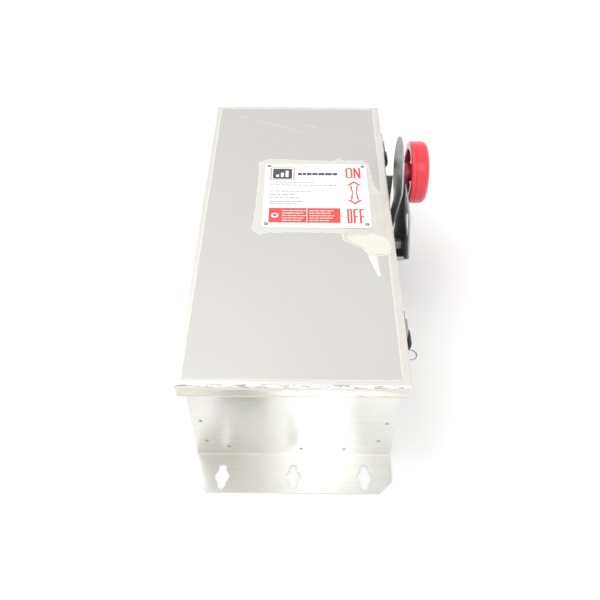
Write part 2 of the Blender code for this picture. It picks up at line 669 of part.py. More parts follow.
def ground_bar():
    low = 1.9
    bar = box("ground_bar", (-92.0, -205.0, low), (-76.0, -172.0, 16.0), "alloy")
    for i in range(3):
        y = -199.0 + i * 10.5
        wire = prism(f"earth_wire_{i}", disc((y, 8.5), 3.2, 12), "X", -95.0, -70.0)
        change(bar, wire)


def main():
    clear()
    enclosure()
    cover()
    for number, y in ((1, -HINGE_Y), (2, HINGE_Y)):
        hinge(number, y)
    handle()
    for number, y in enumerate(LATCH_Y, 1):
        latch(number, y)
    latch_ring()
    switch_base()
    rotor()
    drive()
    terminals()
    fuses()
    ground_bar()


main()
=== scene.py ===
"""The looks of a fused disconnect switch in a stainless enclosure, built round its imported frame."""

import math

import bmesh
import bpy
from mathutils import Matrix, Vector, noise


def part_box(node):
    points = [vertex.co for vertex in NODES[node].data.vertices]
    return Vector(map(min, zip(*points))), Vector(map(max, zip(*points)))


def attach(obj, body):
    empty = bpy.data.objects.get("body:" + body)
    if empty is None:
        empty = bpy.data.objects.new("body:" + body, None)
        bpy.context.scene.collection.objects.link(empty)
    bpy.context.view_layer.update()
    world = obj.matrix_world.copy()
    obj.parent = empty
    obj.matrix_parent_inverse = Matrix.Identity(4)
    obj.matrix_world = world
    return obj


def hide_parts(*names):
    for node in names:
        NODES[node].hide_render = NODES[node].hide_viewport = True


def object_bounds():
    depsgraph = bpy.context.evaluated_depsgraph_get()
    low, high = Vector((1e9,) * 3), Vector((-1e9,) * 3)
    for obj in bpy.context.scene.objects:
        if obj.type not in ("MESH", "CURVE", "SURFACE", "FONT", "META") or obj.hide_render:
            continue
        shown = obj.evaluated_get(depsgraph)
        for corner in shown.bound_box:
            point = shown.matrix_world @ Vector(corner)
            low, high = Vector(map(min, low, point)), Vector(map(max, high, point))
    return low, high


bl_info = {
    "name": "Fused disconnect switch",
    "version": (1, 0, 0),
    "blender": (4, 5, 0),
    "location": "3D View > Sidebar > Disconnect",
    "description": "Builds the finishes and fine pieces of a stainless fused disconnect switch",
    "category": "Object",
}

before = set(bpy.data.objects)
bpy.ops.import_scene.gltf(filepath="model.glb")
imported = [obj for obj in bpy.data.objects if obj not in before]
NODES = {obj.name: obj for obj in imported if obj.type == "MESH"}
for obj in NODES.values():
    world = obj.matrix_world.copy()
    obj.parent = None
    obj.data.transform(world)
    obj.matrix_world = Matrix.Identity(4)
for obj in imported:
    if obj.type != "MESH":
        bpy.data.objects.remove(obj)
CAD_BOX = [list(corner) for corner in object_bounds()]
MM = 0.001
COVER_LOW, COVER_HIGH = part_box("cover")
PLATE_LOW, PLATE_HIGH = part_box("nameplate")
KNOB_LOW, KNOB_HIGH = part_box("knob")
SKIN = 0.00004  # what lies on a surface starts this far above it
INK = 0.00003  # thickness of one layer of print
FILM = 0.00013  # thickness of the protective film
END_WALL = 0.2232  # from the middle to the outside of either end wall
SMEAR_AND_SHADE = 0.012  # how far the ragged edge of the near-black darkening round the pivot strays; it is old greasy dirt and painted shade
STANDING = ((-0.99, 0.35), (-0.66, 1.3))  # y and z of a tall card's lower and upper edge
LYING = ((-0.8, 0.004), (-0.296, 0.004))
STROKE = 2.3  # of the plate's block letters, in millimetres


def linear(code):
    """Turns an sRGB hex colour such as #C0C0C0 to linear red, green and blue."""
    parts = [int(code[i : i + 2], 16) / 255 for i in (1, 3, 5)]
    return tuple(c / 12.92 if c <= 0.04045 else ((c + 0.055) / 1.055) ** 2.4 for c in parts)


def swatch(label, about, code):
    return bpy.props.FloatVectorProperty(
        name=label, description=about, subtype="COLOR", size=3, min=0.0, max=1.0, default=linear(code)
    )


def length(label, about, value):
    return bpy.props.FloatProperty(
        name=label, description=about, subtype="DISTANCE", unit="LENGTH", default=value, precision=5
    )


def share(label, about, value):
    return bpy.props.FloatProperty(
        name=label, description=about, subtype="FACTOR", min=0.0, max=1.0, default=value
    )


class DisconnectMetal(bpy.types.PropertyGroup):
    """The bare and filmed stainless sheet."""

    sheet: swatch("Brushed sheet", "Brushed stainless of the body and flanges", "#F0F0EC")
    # Darker colour of the brushed sheet: used for its grain lines and for the broad bands of painted sheen.
    shade: swatch("Sheet in its darker bands", "Where the sheet's sheen falls off", "#B4B4B0")
    mill: swatch("Mill finish", "Bright stainless of the bracket, lever and latches", "#B9BBBB")
    film: swatch("Film", "Protective film over the cover", "#C9C8C4")
    bare: swatch("Bare cover", "Cover where the film is gone", "#EBE5DE")
    glue: swatch("Adhesive", "Old adhesive round the nameplate", "#D6D5CD")
    grain: length("Grain width", "Width of one brushed line as drawn", 0.0009)
    roughness: share("Roughness", "Roughness of the brushed sheet", 0.3)


class DisconnectKnob(bpy.types.PropertyGroup):
    """The round knob and the black grips."""

    red: swatch("Knob", "Glossy red moulding", "#E62A3A")
    black: swatch("Grip", "Black latch grips", "#141414")
    rounding: length("Rim rounding", "Radius of the knob's outer rim", 0.007)
    wall: length("Rim wall", "Thickness of the wall round the recess", 0.0075)
    rib: length("Rib", "Thickness of the ribs in the recess", 0.0024)
    ribs: bpy.props.IntProperty(name="Ribs", description="Ribs behind the rim", default=4, min=2, max=12)


class DisconnectPlate(bpy.types.PropertyGroup):
    """The printed plate and the film's edges."""

    white: swatch("Plate", "White printed plate", "#FAFAF9")
    red: swatch("Red print", "Red print on the plate", "#D9453F")
    ink: swatch("Dark print", "Dark print on the plate", "#3A4347")
    rivet: length("Rivet", "Radius of the plate's rivets", 0.0017)
    film_edge: length("Film edge", "Width of the lifted line along the film's edge", 0.0011)
    film_inset: length("Film inset", "From the cover's long left edge to the film", 0.006)


class DisconnectStage(bpy.types.PropertyGroup):
    """Floor, light and camera."""

    floor: swatch("Floor", "Plain pale floor", "#FCFCFC")
    sky: bpy.props.FloatProperty(name="Sky", description="Strength of the even light", default=0.98)
    key: bpy.props.FloatProperty(name="Key", description="Power of the soft light, in watts", default=16.0)
    lens: length("Lens", "Focal length on a 36 mm sensor", 0.041706)
    eye: bpy.props.FloatVectorProperty(
        name="Camera", description="Where the camera stands", subtype="TRANSLATION",
        unit="LENGTH", default=(0.0074, -0.5979, 0.6416)
    )
    pitch: bpy.props.FloatProperty(
        name="Pitch", description="How far the camera looks down", subtype="ANGLE",
        unit="ROTATION", default=math.radians(47.17)
    )


GROUPS = {
    "disconnect_metal": DisconnectMetal,
    "disconnect_knob": DisconnectKnob,
    "disconnect_plate": DisconnectPlate,
    "disconnect_stage": DisconnectStage,
}


# ---------------------------------------------------------------- materials


def add(tree, kind, inputs=None, **settings):
    """Adds a node; an input given as a socket is linked and any other value is set."""
    made = tree.nodes.new(kind)
    for key, value in settings.items():
        setattr(made, key, value)
    for key, value in (inputs or {}).items():
        if isinstance(value, bpy.types.NodeSocket):
            tree.links.new(value, made.inputs[key])
        else:
            made.inputs[key].default_value = value
    return made


def blank(name, colour, roughness, metallic=0.0, **more):
    """A new material and its shader, with the values that are even all over it."""
    material = bpy.data.materials.new(name)
    material.use_nodes = True
    tree = material.node_tree
    shader = tree.nodes["Principled BSDF"]
    shader.inputs["Base Color"].default_value = (*colour, 1.0)
    shader.inputs["Roughness"].default_value = roughness
    shader.inputs["Metallic"].default_value = metallic
    for key, value in more.items():
        shader.inputs[key.replace("_", " ")].default_value = value
    return material, tree, shader


def pattern(tree, scale, detail, distortion=0.0):
    """Noise on Object coordinates, with its scale in cells per metre along X, Y and Z."""
    coordinates = add(tree, "ShaderNodeTexCoord")
    inputs = {"Vector": coordinates.outputs["Object"], "Scale": scale}
    cells = add(tree, "ShaderNodeMapping", inputs)
    inputs = {"Vector": cells.outputs["Vector"], "Scale": 1.0, "Detail": detail, "Distortion": distortion}
    return add(tree, "ShaderNodeTexNoise", inputs).outputs["Fac"]


def tint(tree, value, start, end, amount, first, second):
    """Turns the first colour into the second, by amount at most, as value goes from start to end."""
    inputs = {"Value": value, "From Min": start, "From Max": end, "To Min": 0.0, "To Max": amount}
    inputs = {0: add(tree, "ShaderNodeMapRange", inputs).outputs["Result"]}
    for slot, colour in ((6, first), (7, second)):
        inputs[slot] = colour if isinstance(colour, bpy.types.NodeSocket) else (*colour, 1.0)
    return add(tree, "ShaderNodeMix", inputs, data_type="RGBA").outputs[2]


def settle(tree, shader, colour=None, rough=None, bump=None):
    """Gives the shader its colour, roughness and bumps.

    rough is (pattern, low, high) and bump is (pattern, distance, strength).
    """
    if colour is not None:
        tree.links.new(colour, shader.inputs["Base Color"])
    if rough:
        inputs = dict(zip(("Value", "To Min", "To Max"), rough))
        tree.links.new(add(tree, "ShaderNodeMapRange", inputs).outputs["Result"], shader.inputs["Roughness"])
    if bump:
        inputs = dict(zip(("Height", "Distance", "Strength"), bump))
        tree.links.new(add(tree, "ShaderNodeBump", inputs).outputs["Normal"], shader.inputs["Normal"])


def darker(colour, amount):
    return tuple(c * amount for c in colour)


def paler(colour, gain, lift):
    return tuple(min(1.0, c * gain + lift) for c in colour)


def brushed_stainless(name, metal, along, stretch):
    """Belt-brushed stainless: reflections stretch across the grain, and fine lines run along it.

    Real grain is about 0.05 mm wide, too fine to see here, so the lines are drawn wider. Broad darker bands
    in the colour are painted reflection, a painted sheen.
    """
    material, tree, shader = blank(name, metal.sheet, metal.roughness, 1.0, Anisotropic=0.8)
    aim = add(tree, "ShaderNodeCombineXYZ", dict(enumerate(stretch)))
    tree.links.new(aim.outputs[0], shader.inputs["Tangent"])
    grain = pattern(tree, tuple(7.0 if axis == along else 1.0 / metal.grain for axis in "XYZ"), 5.0)
    # Broad cloudy darker bands: painted reflection, standing in for the sheen bands that lights and flags
    # leave on the sheet.
    painted_sheen_clouds = pattern(tree, (14.0, 9.0, 9.0), 2.0)
    base = tint(tree, painted_sheen_clouds, 0.35, 0.75, 0.25, metal.sheet, metal.shade)
    colour = tint(tree, grain, 0.45, 0.75, 0.2, base, metal.shade)
    rough = (grain, metal.roughness - 0.06, metal.roughness + 0.1)
    settle(tree, shader, colour, rough, (grain, 0.00002, 0.07))
    return material


def mill_stainless(name, metal, roughness=0.17, grease_and_shade=None, metallic=1.0):
    """Stainless as it comes off the roll: a soft mirror with faint haze and handling marks.

    With a reach given, the colour goes nearly black within that distance of the handle's pivot. This is
    partly old greasy dirt and partly painted shade for the shadowed inside of the bracket and lever.
    """
    material, tree, shader = blank(name, metal.mill, roughness, metallic)
    haze = pattern(tree, (60.0, 60.0, 60.0), 5.0)
    colour = tint(tree, haze, 0.35, 0.8, 0.6, metal.mill, darker(metal.mill, 0.6))
    if grease_and_shade:
        low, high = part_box("handle_shaft")
        pivot = (high[0], (low[1] + high[1]) / 2, (low[2] + high[2]) / 2)
        coordinates = add(tree, "ShaderNodeTexCoord")
        inputs = {0: coordinates.outputs["Object"], 1: pivot}
        away = add(tree, "ShaderNodeVectorMath", inputs, operation="DISTANCE").outputs["Value"]
        inputs = {0: haze, 1: 2 * SMEAR_AND_SHADE, 2: away}
        ragged = add(tree, "ShaderNodeMath", inputs, operation="MULTIPLY_ADD").outputs[0]
        # Near-black towards the pivot: partly old greasy dirt, partly painted shade.
        colour = tint(tree, ragged, grease_and_shade + SMEAR_AND_SHADE, grease_and_shade * 0.6 + SMEAR_AND_SHADE, 0.88, colour, linear("#242423"))
    settle(tree, shader, colour, (haze, roughness - 0.05, roughness + 0.16), (haze, 0.0001, 0.25))
    return material


def bare_cover(name, metal):
    """The cover's own brushed stainless, dulled by film that was on it."""
    material, tree, shader = blank(name, metal.bare, 0.36, 0.85)
    smear = pattern(tree, (45.0, 30.0, 90.0), 6.0)
    lines = pattern(tree, (500.0, 10.0, 500.0), 2.0)
    colour = tint(tree, smear, 0.4, 0.7, 0.45, metal.bare, metal.glue)
    colour = tint(tree, lines, 0.4, 0.7, 0.12, colour, metal.shade)
    settle(tree, shader, colour, (smear, 0.28, 0.5), (smear, 0.00015, 0.35))
    return material


def protective_film(name, metal):
    """Milky polyethylene film on steel: matte, softly reflecting, a little wavy, with dust.

    Its colour grows paler from the far end to the near end. The dust is drawn 1 to 2 mm wide.
    """
    material, tree, shader = blank(name, metal.film, 0.4, 0.35, IOR=1.5)
    wave = pattern(tree, (7.0, 5.0, 7.0), 2.0)
    dust = pattern(tree, (420.0, 420.0, 420.0), 3.0)
    coordinates = add(tree, "ShaderNodeTexCoord")
    along = add(tree, "ShaderNodeSeparateXYZ", {0: coordinates.outputs["Object"]}).outputs["Y"]
    far_end_film = darker(metal.film, 0.97)
    milky = tint(tree, along, COVER_LOW[1], COVER_HIGH[1], 1.0, linear("#CFCECA"), far_end_film)
    colour = tint(tree, wave, 0.35, 0.7, 0.3, milky, darker(metal.film, 0.92))
    colour = tint(tree, dust, 0.68, 0.8, 0.3, colour, linear("#F4F2EC"))
    settle(tree, shader, colour, (wave, 0.36, 0.47), (wave, 0.0012, 0.35))
    return material


def creased_film(name):
    """Film pulled taut over a fold: white, with fine creases that run along the edge, their folds painted
    dark grey as painted shade.
    """
    material, tree, shader = blank(name, linear("#EFEDEC"), 0.22, 0.15, IOR=1.5)
    crease_and_shade = pattern(tree, (95.0, 1100.0, 1100.0), 3.0, 0.8)
    # Dark grey in the creases is painted shade; the bump gives the creases themselves.
    colour = tint(tree, crease_and_shade, 0.52, 0.6, 1.0, linear("#F4F2F1"), linear("#A39CA2"))
    settle(tree, shader, colour, bump=(crease_and_shade, 0.0003, 0.7))
    return material


def dried_adhesive(name, colour, roughness=0.55, lumps=140.0, yellow=0.35):
    """Old pressure-sensitive adhesive: dull, uneven and slightly yellow where it is thick."""
    material, tree, shader = blank(name, colour, roughness, 0.0, IOR=1.48)
    clots = pattern(tree, (lumps, lumps, lumps), 5.0)
    thick = tint(tree, clots, 0.5, 0.74, yellow, colour, linear("#DDD2B4"))
    settle(tree, shader, thick, (clots, roughness - 0.2, roughness + 0.15), (clots, 0.0005, 0.6))
    return material


def stretched_film(name):
    """Lifted polyethylene film: pale, soft and slightly glossy, like thin clean adhesive."""
    return dried_adhesive(name, linear("#E3E2DE"), 0.4, 320.0, 0.05)


def moulded_plastic(name, colour, roughness, pits=900.0, depth=0.00004, coat=0.0):
    """Injection-moulded plastic: an even colour with a faint tool texture and pale scuffs."""
    gloss = {"Coat_Weight": coat, "Coat_Roughness": 0.12}
    material, tree, shader = blank(name, colour, roughness, 0.0, IOR=1.5, **gloss)
    skin = pattern(tree, (pits, pits, pits), 2.0)
    scuff = pattern(tree, (55.0, 55.0, 55.0), 6.0)
    worn = tint(tree, scuff, 0.56, 0.78, 0.5, colour, paler(colour, 1.25, 0.03))
    settle(tree, shader, worn, (scuff, roughness - 0.07, roughness + 0.12), (skin, depth, 0.5))
    return material


def plated(name, colour, stain, roughness, grit=160.0):
    """Electroplated metal with faint staining: copper under tin, or zinc on steel."""
    material, tree, shader = blank(name, colour, roughness, 1.0)
    cloud = pattern(tree, (grit, grit, grit), 6.0)
    stained = tint(tree, cloud, 0.4, 0.72, 1.0, colour, stain)
    settle(tree, shader, stained, (cloud, roughness - 0.06, roughness + 0.18), (cloud, 0.00008, 0.4))
    return material


def print_ink(name, colour):
    """Screen-printed enamel ink: flat, with slightly uneven cover."""
    material, tree, shader = blank(name, colour, 0.35, 0.0, IOR=1.5)
    cover = pattern(tree, (700.0, 700.0, 700.0), 2.0)
    settle(tree, shader, tint(tree, cover, 0.0, 1.0, 1.0, colour, paler(colour, 1.15, 0.02)))
    return material


def clear_polycarbonate(name):
    """Extruded polycarbonate sheet: see-through, faintly grey, smooth with a little haze."""
    see_through = {"IOR": 1.58, "Transmission_Weight": 0.9}
    material, tree, shader = blank(name, linear("#E8ECEC"), 0.08, 0.0, **see_through)
    haze = pattern(tree, (90.0, 90.0, 90.0), 4.0)
    settle(tree, shader, rough=(haze, 0.04, 0.2))
    return material


def dress(material, *names):
    """Gives CAD nodes their finish."""
    for name in names:
        node = NODES[name]
        node.data.materials.clear()
        node.data.materials.append(material)


def numbered(*names):
    return [f"{name}_{i}" for name in names for i in (1, 2, 3)]


# ---------------------------------------------------------------- mesh work


def piece(name, form, material, body, smooth=None):
    """Links a shape, which already lies in place, and lets it ride on a body.

    form is a mesh, a BMesh, or a list of BMeshes that become one mesh.
    """
    if isinstance(form, list):
        form = join_forms(form)
    mesh = form if isinstance(form, bpy.types.Mesh) else to_mesh(form, name)
    if material:
        mesh.materials.clear()
        mesh.materials.append(material)
    if smooth:
        mesh.shade_smooth()
        mesh.set_sharp_from_angle(angle=math.radians(smooth))
    obj = bpy.data.objects.new(name, mesh)
    bpy.context.scene.collection.objects.link(obj)
    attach(obj, body)
    return obj


def to_mesh(form, name):
    mesh = bpy.data.meshes.new(name)
    form.to_mesh(mesh)
    form.free()
    return mesh


def outline_sheet(outline, spot, thickness, fine=0, lift=None):
    """A thin closed sheet with the outline's shape. spot places (a, b, height) in the frame."""
    form = bmesh.new()
    top = [form.verts.new(Vector((a, b, thickness))) for a, b in outline]
    face = form.faces.new(top)
    face.normal_update()
    if face.normal.z < 0:
        face.normal_flip()
    bmesh.ops.triangulate(form, faces=form.faces)
    for _ in range(fine):
        bmesh.ops.subdivide_edges(form, edges=form.edges, cuts=1, use_grid_fill=True)
    if lift:
        rims = {v for e in form.edges if e.is_boundary for v in e.verts}
        for vert in form.verts:
            if vert not in rims:
                vert.co.z += lift(vert.co)
    grown = bmesh.ops.extrude_face_region(form, geom=form.faces[:], use_keep_orig=True)
    for vert in [v for v in grown["geom"] if isinstance(v, bmesh.types.BMVert)]:
        vert.co.z = 0.0
    bmesh.ops.recalc_face_normals(form, faces=form.faces)
    for vert in form.verts:
        vert.co = spot(*vert.co)
    bmesh.ops.recalc_face_normals(form, faces=form.faces)
    return form


def torn(points, pitch, depth, seed, closed=True):
    """Walks an outline in short steps and pushes each step in or out a little."""
    walked = []
    following = points[1:] + points[:1] if closed else points[1:]
    for (ax, ay), (bx, by) in zip(points, following):
        run = math.hypot(bx - ax, by - ay)
        steps = max(1, round(run / pitch))
        for i in range(steps):
            t = i / steps
            x = ax + (bx - ax) * t
            y = ay + (by - ay) * t
            push = noise.noise(Vector((x * 160, y * 160, seed))) * depth
            push += noise.noise(Vector((x * 700, y * 700, seed))) * depth * 0.4
            walked.append((x - (by - ay) / run * push, y + (bx - ax) / run * push))
    return walked


def on_cover(x, y, height):
    return Vector((x, y, COVER_HIGH[2] + SKIN + height))


def on_plate(x, y, height):
    return Vector((x, y, PLATE_HIGH[2] + INK / 2 + height))


def bridge(form, rings):
    """Faces from every closed ring of vertices to the next, and from the last to the first."""
    for near, far in zip(rings, rings[1:] + rings[:1]):
        for j in range(len(near)):
            k = (j + 1) % len(near)
            form.faces.new((near[j], near[k], far[k], far[j]))


def band(outer, inner, spot, thickness):
    """A flat ring between two outlines with the same number of points."""
    form = bmesh.new()
    rows = []
    for (ax, ay), (bx, by) in zip(outer, inner):
        corners = ((ax, ay, 0.0), (ax, ay, thickness), (bx, by, thickness), (bx, by, 0.0))
        rows.append([form.verts.new(spot(*corner)) for corner in corners])
    bridge(form, rows)
    bmesh.ops.recalc_face_normals(form, faces=form.faces)
    return form


def strip(points, widths, spot, thickness):
    """A flat ribbon along points, each with its own width; a closed thin solid."""
    form = bmesh.new()
    rows = []
    for i, (x, y) in enumerate(points):
        ahead = points[min(i + 1, len(points) - 1)]
        behind = points[max(i - 1, 0)]
        away = Vector((ahead[0] - behind[0], ahead[1] - behind[1])).normalized()
        side = Vector((-away.y, away.x)) * widths[i] / 2
        corners = [(x + side.x, y + side.y), (x - side.x, y - side.y)]
        row = [form.verts.new(spot(a, b, h)) for a, b in corners for h in (0.0, thickness)]
        rows.append(row)
    for near, far in zip(rows, rows[1:]):
        for a, b in ((0, 1), (1, 3), (3, 2), (2, 0)):
            form.faces.new((near[a], near[b], far[b], far[a]))
    for row, order in ((rows[0], (0, 2, 3, 1)), (rows[-1], (0, 1, 3, 2))):
        form.faces.new([row[i] for i in order])
    bmesh.ops.recalc_face_normals(form, faces=form.faces)
    return form


def join_forms(forms):
    """Puts several closed shapes into one mesh."""
    whole = bmesh.new()
    for form in forms:
        part = bpy.data.meshes.new("part")
        form.to_mesh(part)
        form.free()
        whole.from_mesh(part)
        bpy.data.meshes.remove(part)
    return whole


def slab(low, high, spot, thickness):
    """A rectangle of print or sheet."""
    corners = [(low[0], low[1]), (high[0], low[1]), (high[0], high[1]), (low[0], high[1])]
    return outline_sheet(corners, spot, thickness)


def turned(profile, centre, segments):
    """Spins a closed profile of (radius, x) round an axis along X."""
    form = bmesh.new()
    rings = []
    for i in range(segments):
        angle = 2 * math.pi * i / segments
        rings.append([
            form.verts.new((x, centre[1] + r * math.cos(angle), centre[2] + r * math.sin(angle)))
            for r, x in profile
        ])
    bridge(form, rings)
    bmesh.ops.remove_doubles(form, verts=form.verts, dist=0.000001)
    bmesh.ops.recalc_face_normals(form, faces=form.faces)
    return form


def stations(start, end, steps):
    """Evenly spaced values from start to end."""
    return [start + (end - start) * i / steps for i in range(steps + 1)]


def arc(centre, radius, start, end, steps):
    angles = [math.radians(angle) for angle in stations(start, end, steps)]
    return [(centre[0] + radius * math.cos(a), centre[1] + radius * math.sin(a)) for a in angles]


def rounded(low, high, radius):
    """A rectangle's outline with round corners."""
    outline = []
    corners = ((high[0], high[1], 0), (low[0], high[1], 90), (low[0], low[1], 180), (high[0], low[1], 270))
    for x, y, start in corners:
        centre = (x - math.copysign(radius, x - (low[0] + high[0]) / 2),
                  y - math.copysign(radius, y - (low[1] + high[1]) / 2))
        outline += arc(centre, radius, start, start + 90, 4)
    return outline


# ---------------------------------------------------------------- repeated pieces


def socket(tree, label, kind, value=None, direction="INPUT"):
    made = tree.interface.new_socket(label, in_out=direction, socket_type=kind)
    if value is not None:
        made.default_value = value
    return made


def fastener_tree(name, slotted):
    """Geometry Nodes that set a domed or slotted head on every point, facing along the point's normal."""
    tree = bpy.data.node_groups.new(name, "GeometryNodeTree")
    socket(tree, "Points", "NodeSocketGeometry")
    socket(tree, "Radius", "NodeSocketFloat", 0.002)
    socket(tree, "Height", "NodeSocketFloat", 0.001)
    socket(tree, "Finish", "NodeSocketMaterial")
    socket(tree, "Heads", "NodeSocketGeometry", direction="OUTPUT")
    given = add(tree, "NodeGroupInput").outputs
    radius = given["Radius"]
    height = given["Height"]
    if slotted:
        inputs = {"Vertices": 24, "Radius": radius, "Depth": height}
        disc = add(tree, "GeometryNodeMeshCylinder", inputs).outputs["Mesh"]
        wide = add(tree, "ShaderNodeMath", {0: radius, 1: 2.4}, operation="MULTIPLY").outputs[0]
        narrow = add(tree, "ShaderNodeMath", {0: radius, 1: 0.3}, operation="MULTIPLY").outputs[0]
        size = add(tree, "ShaderNodeCombineXYZ", {0: wide, 1: narrow, 2: height}).outputs[0]
        bar = add(tree, "GeometryNodeMeshCube", {"Size": size}).outputs["Mesh"]
        half = add(tree, "ShaderNodeMath", {0: height, 1: 0.5}, operation="MULTIPLY").outputs[0]
        up = add(tree, "ShaderNodeCombineXYZ", {2: half}).outputs[0]
        bar = add(tree, "GeometryNodeTransform", {"Geometry": bar, "Translation": up}).outputs[0]
        inputs = {"Mesh 1": disc, "Mesh 2": bar}
        head = add(tree, "GeometryNodeMeshBoolean", inputs, operation="DIFFERENCE").outputs["Mesh"]
    else:
        inputs = {"Segments": 20, "Rings": 10, "Radius": 1.0}
        ball = add(tree, "GeometryNodeMeshUVSphere", inputs).outputs["Mesh"]
        size = add(tree, "ShaderNodeCombineXYZ", {0: radius, 1: radius, 2: height}).outputs[0]
        head = add(tree, "GeometryNodeTransform", {"Geometry": ball, "Scale": size}).outputs[0]
    facing = add(tree, "GeometryNodeInputNamedAttribute", {"Name": "facing"}, data_type="FLOAT_VECTOR")
    turn = add(tree, "FunctionNodeAlignRotationToVector", {"Vector": facing.outputs[0]}, axis="Z")
    inputs = {"Points": given["Points"], "Instance": head, "Rotation": turn.outputs[0]}
    heads = add(tree, "GeometryNodeInstanceOnPoints", inputs).outputs["Instances"]
    solid = add(tree, "GeometryNodeRealizeInstances", {"Geometry": heads}).outputs[0]
    inputs = {"Geometry": solid, "Material": given["Finish"]}
    finished = add(tree, "GeometryNodeSetMaterial", inputs).outputs[0]
    add(tree, "NodeGroupOutput", {"Heads": finished})
    return tree


def fasteners(name, spots, radius, height, material, body, slotted=False):
    """Sets heads at spots, given as (place, facing), and keeps them as one plain mesh."""
    points = bpy.data.meshes.new(f"{name}_points")
    points.from_pydata([tuple(at) for at, _ in spots], [], [])
    facing = points.attributes.new("facing", "FLOAT_VECTOR", "POINT")
    for i, (_, way) in enumerate(spots):
        facing.data[i].vector = way
    seed = bpy.data.objects.new(f"{name}_seed", points)
    bpy.context.scene.collection.objects.link(seed)
    tree = fastener_tree(f"{name}_heads", slotted)
    step = seed.modifiers.new("heads", "NODES")
    step.node_group = tree
    values = {"Radius": radius, "Height": height, "Finish": material}
    for item in tree.interface.items_tree:
        if item.in_out == "INPUT" and item.name in values:
            step[item.identifier] = values[item.name]
    bpy.context.view_layer.update()
    ready = seed.evaluated_get(bpy.context.evaluated_depsgraph_get())
    mesh = bpy.data.meshes.new_from_object(ready)
    seed.modifiers.remove(step)
    bpy.data.objects.remove(seed, do_unlink=True)
    return piece(name, mesh, None, body, smooth=40)


# ---------------------------------------------------------------- pieces


def film_outline(plate):
    """The film's edge: inset from the cover's edges, with a torn opening round the nameplate."""
    left = COVER_LOW[0] + plate.film_inset
    right = COVER_HIGH[0] - 0.0085
    near = COVER_LOW[1] + 0.007
    far = COVER_HIGH[1] - 0.007
    px, py, _ = PLATE_LOW
    qx, qy, _ = PLATE_HIGH
    frame_line = [(left, far), (left, near), (right, near), (right, py - 0.042)]
    tear = [(qx + 0.006, py - 0.044), (qx - 0.005, py - 0.043), (qx - 0.011, py - 0.033),
            (qx - 0.022, py - 0.026), (qx - 0.032, py - 0.019), (qx - 0.033, py - 0.007)]
    halo = [(px + 0.010, py - 0.007), (px - 0.002, py - 0.011), (px - 0.010, py - 0.004),
            (px - 0.008, py + 0.03), (px - 0.007, qy - 0.015), (px - 0.008, qy + 0.004),
            (px + 0.004, qy + 0.010), (qx - 0.038, qy + 0.007), (qx - 0.033, qy + 0.013),
            (qx - 0.027, qy + 0.008), (qx - 0.004, qy + 0.009), (qx + 0.003, qy + 0.002),
            (qx + 0.0045, qy - 0.03), (qx + 0.009, qy - 0.045), (right, qy - 0.058)]
    return frame_line, tear, halo, [(right, far)]


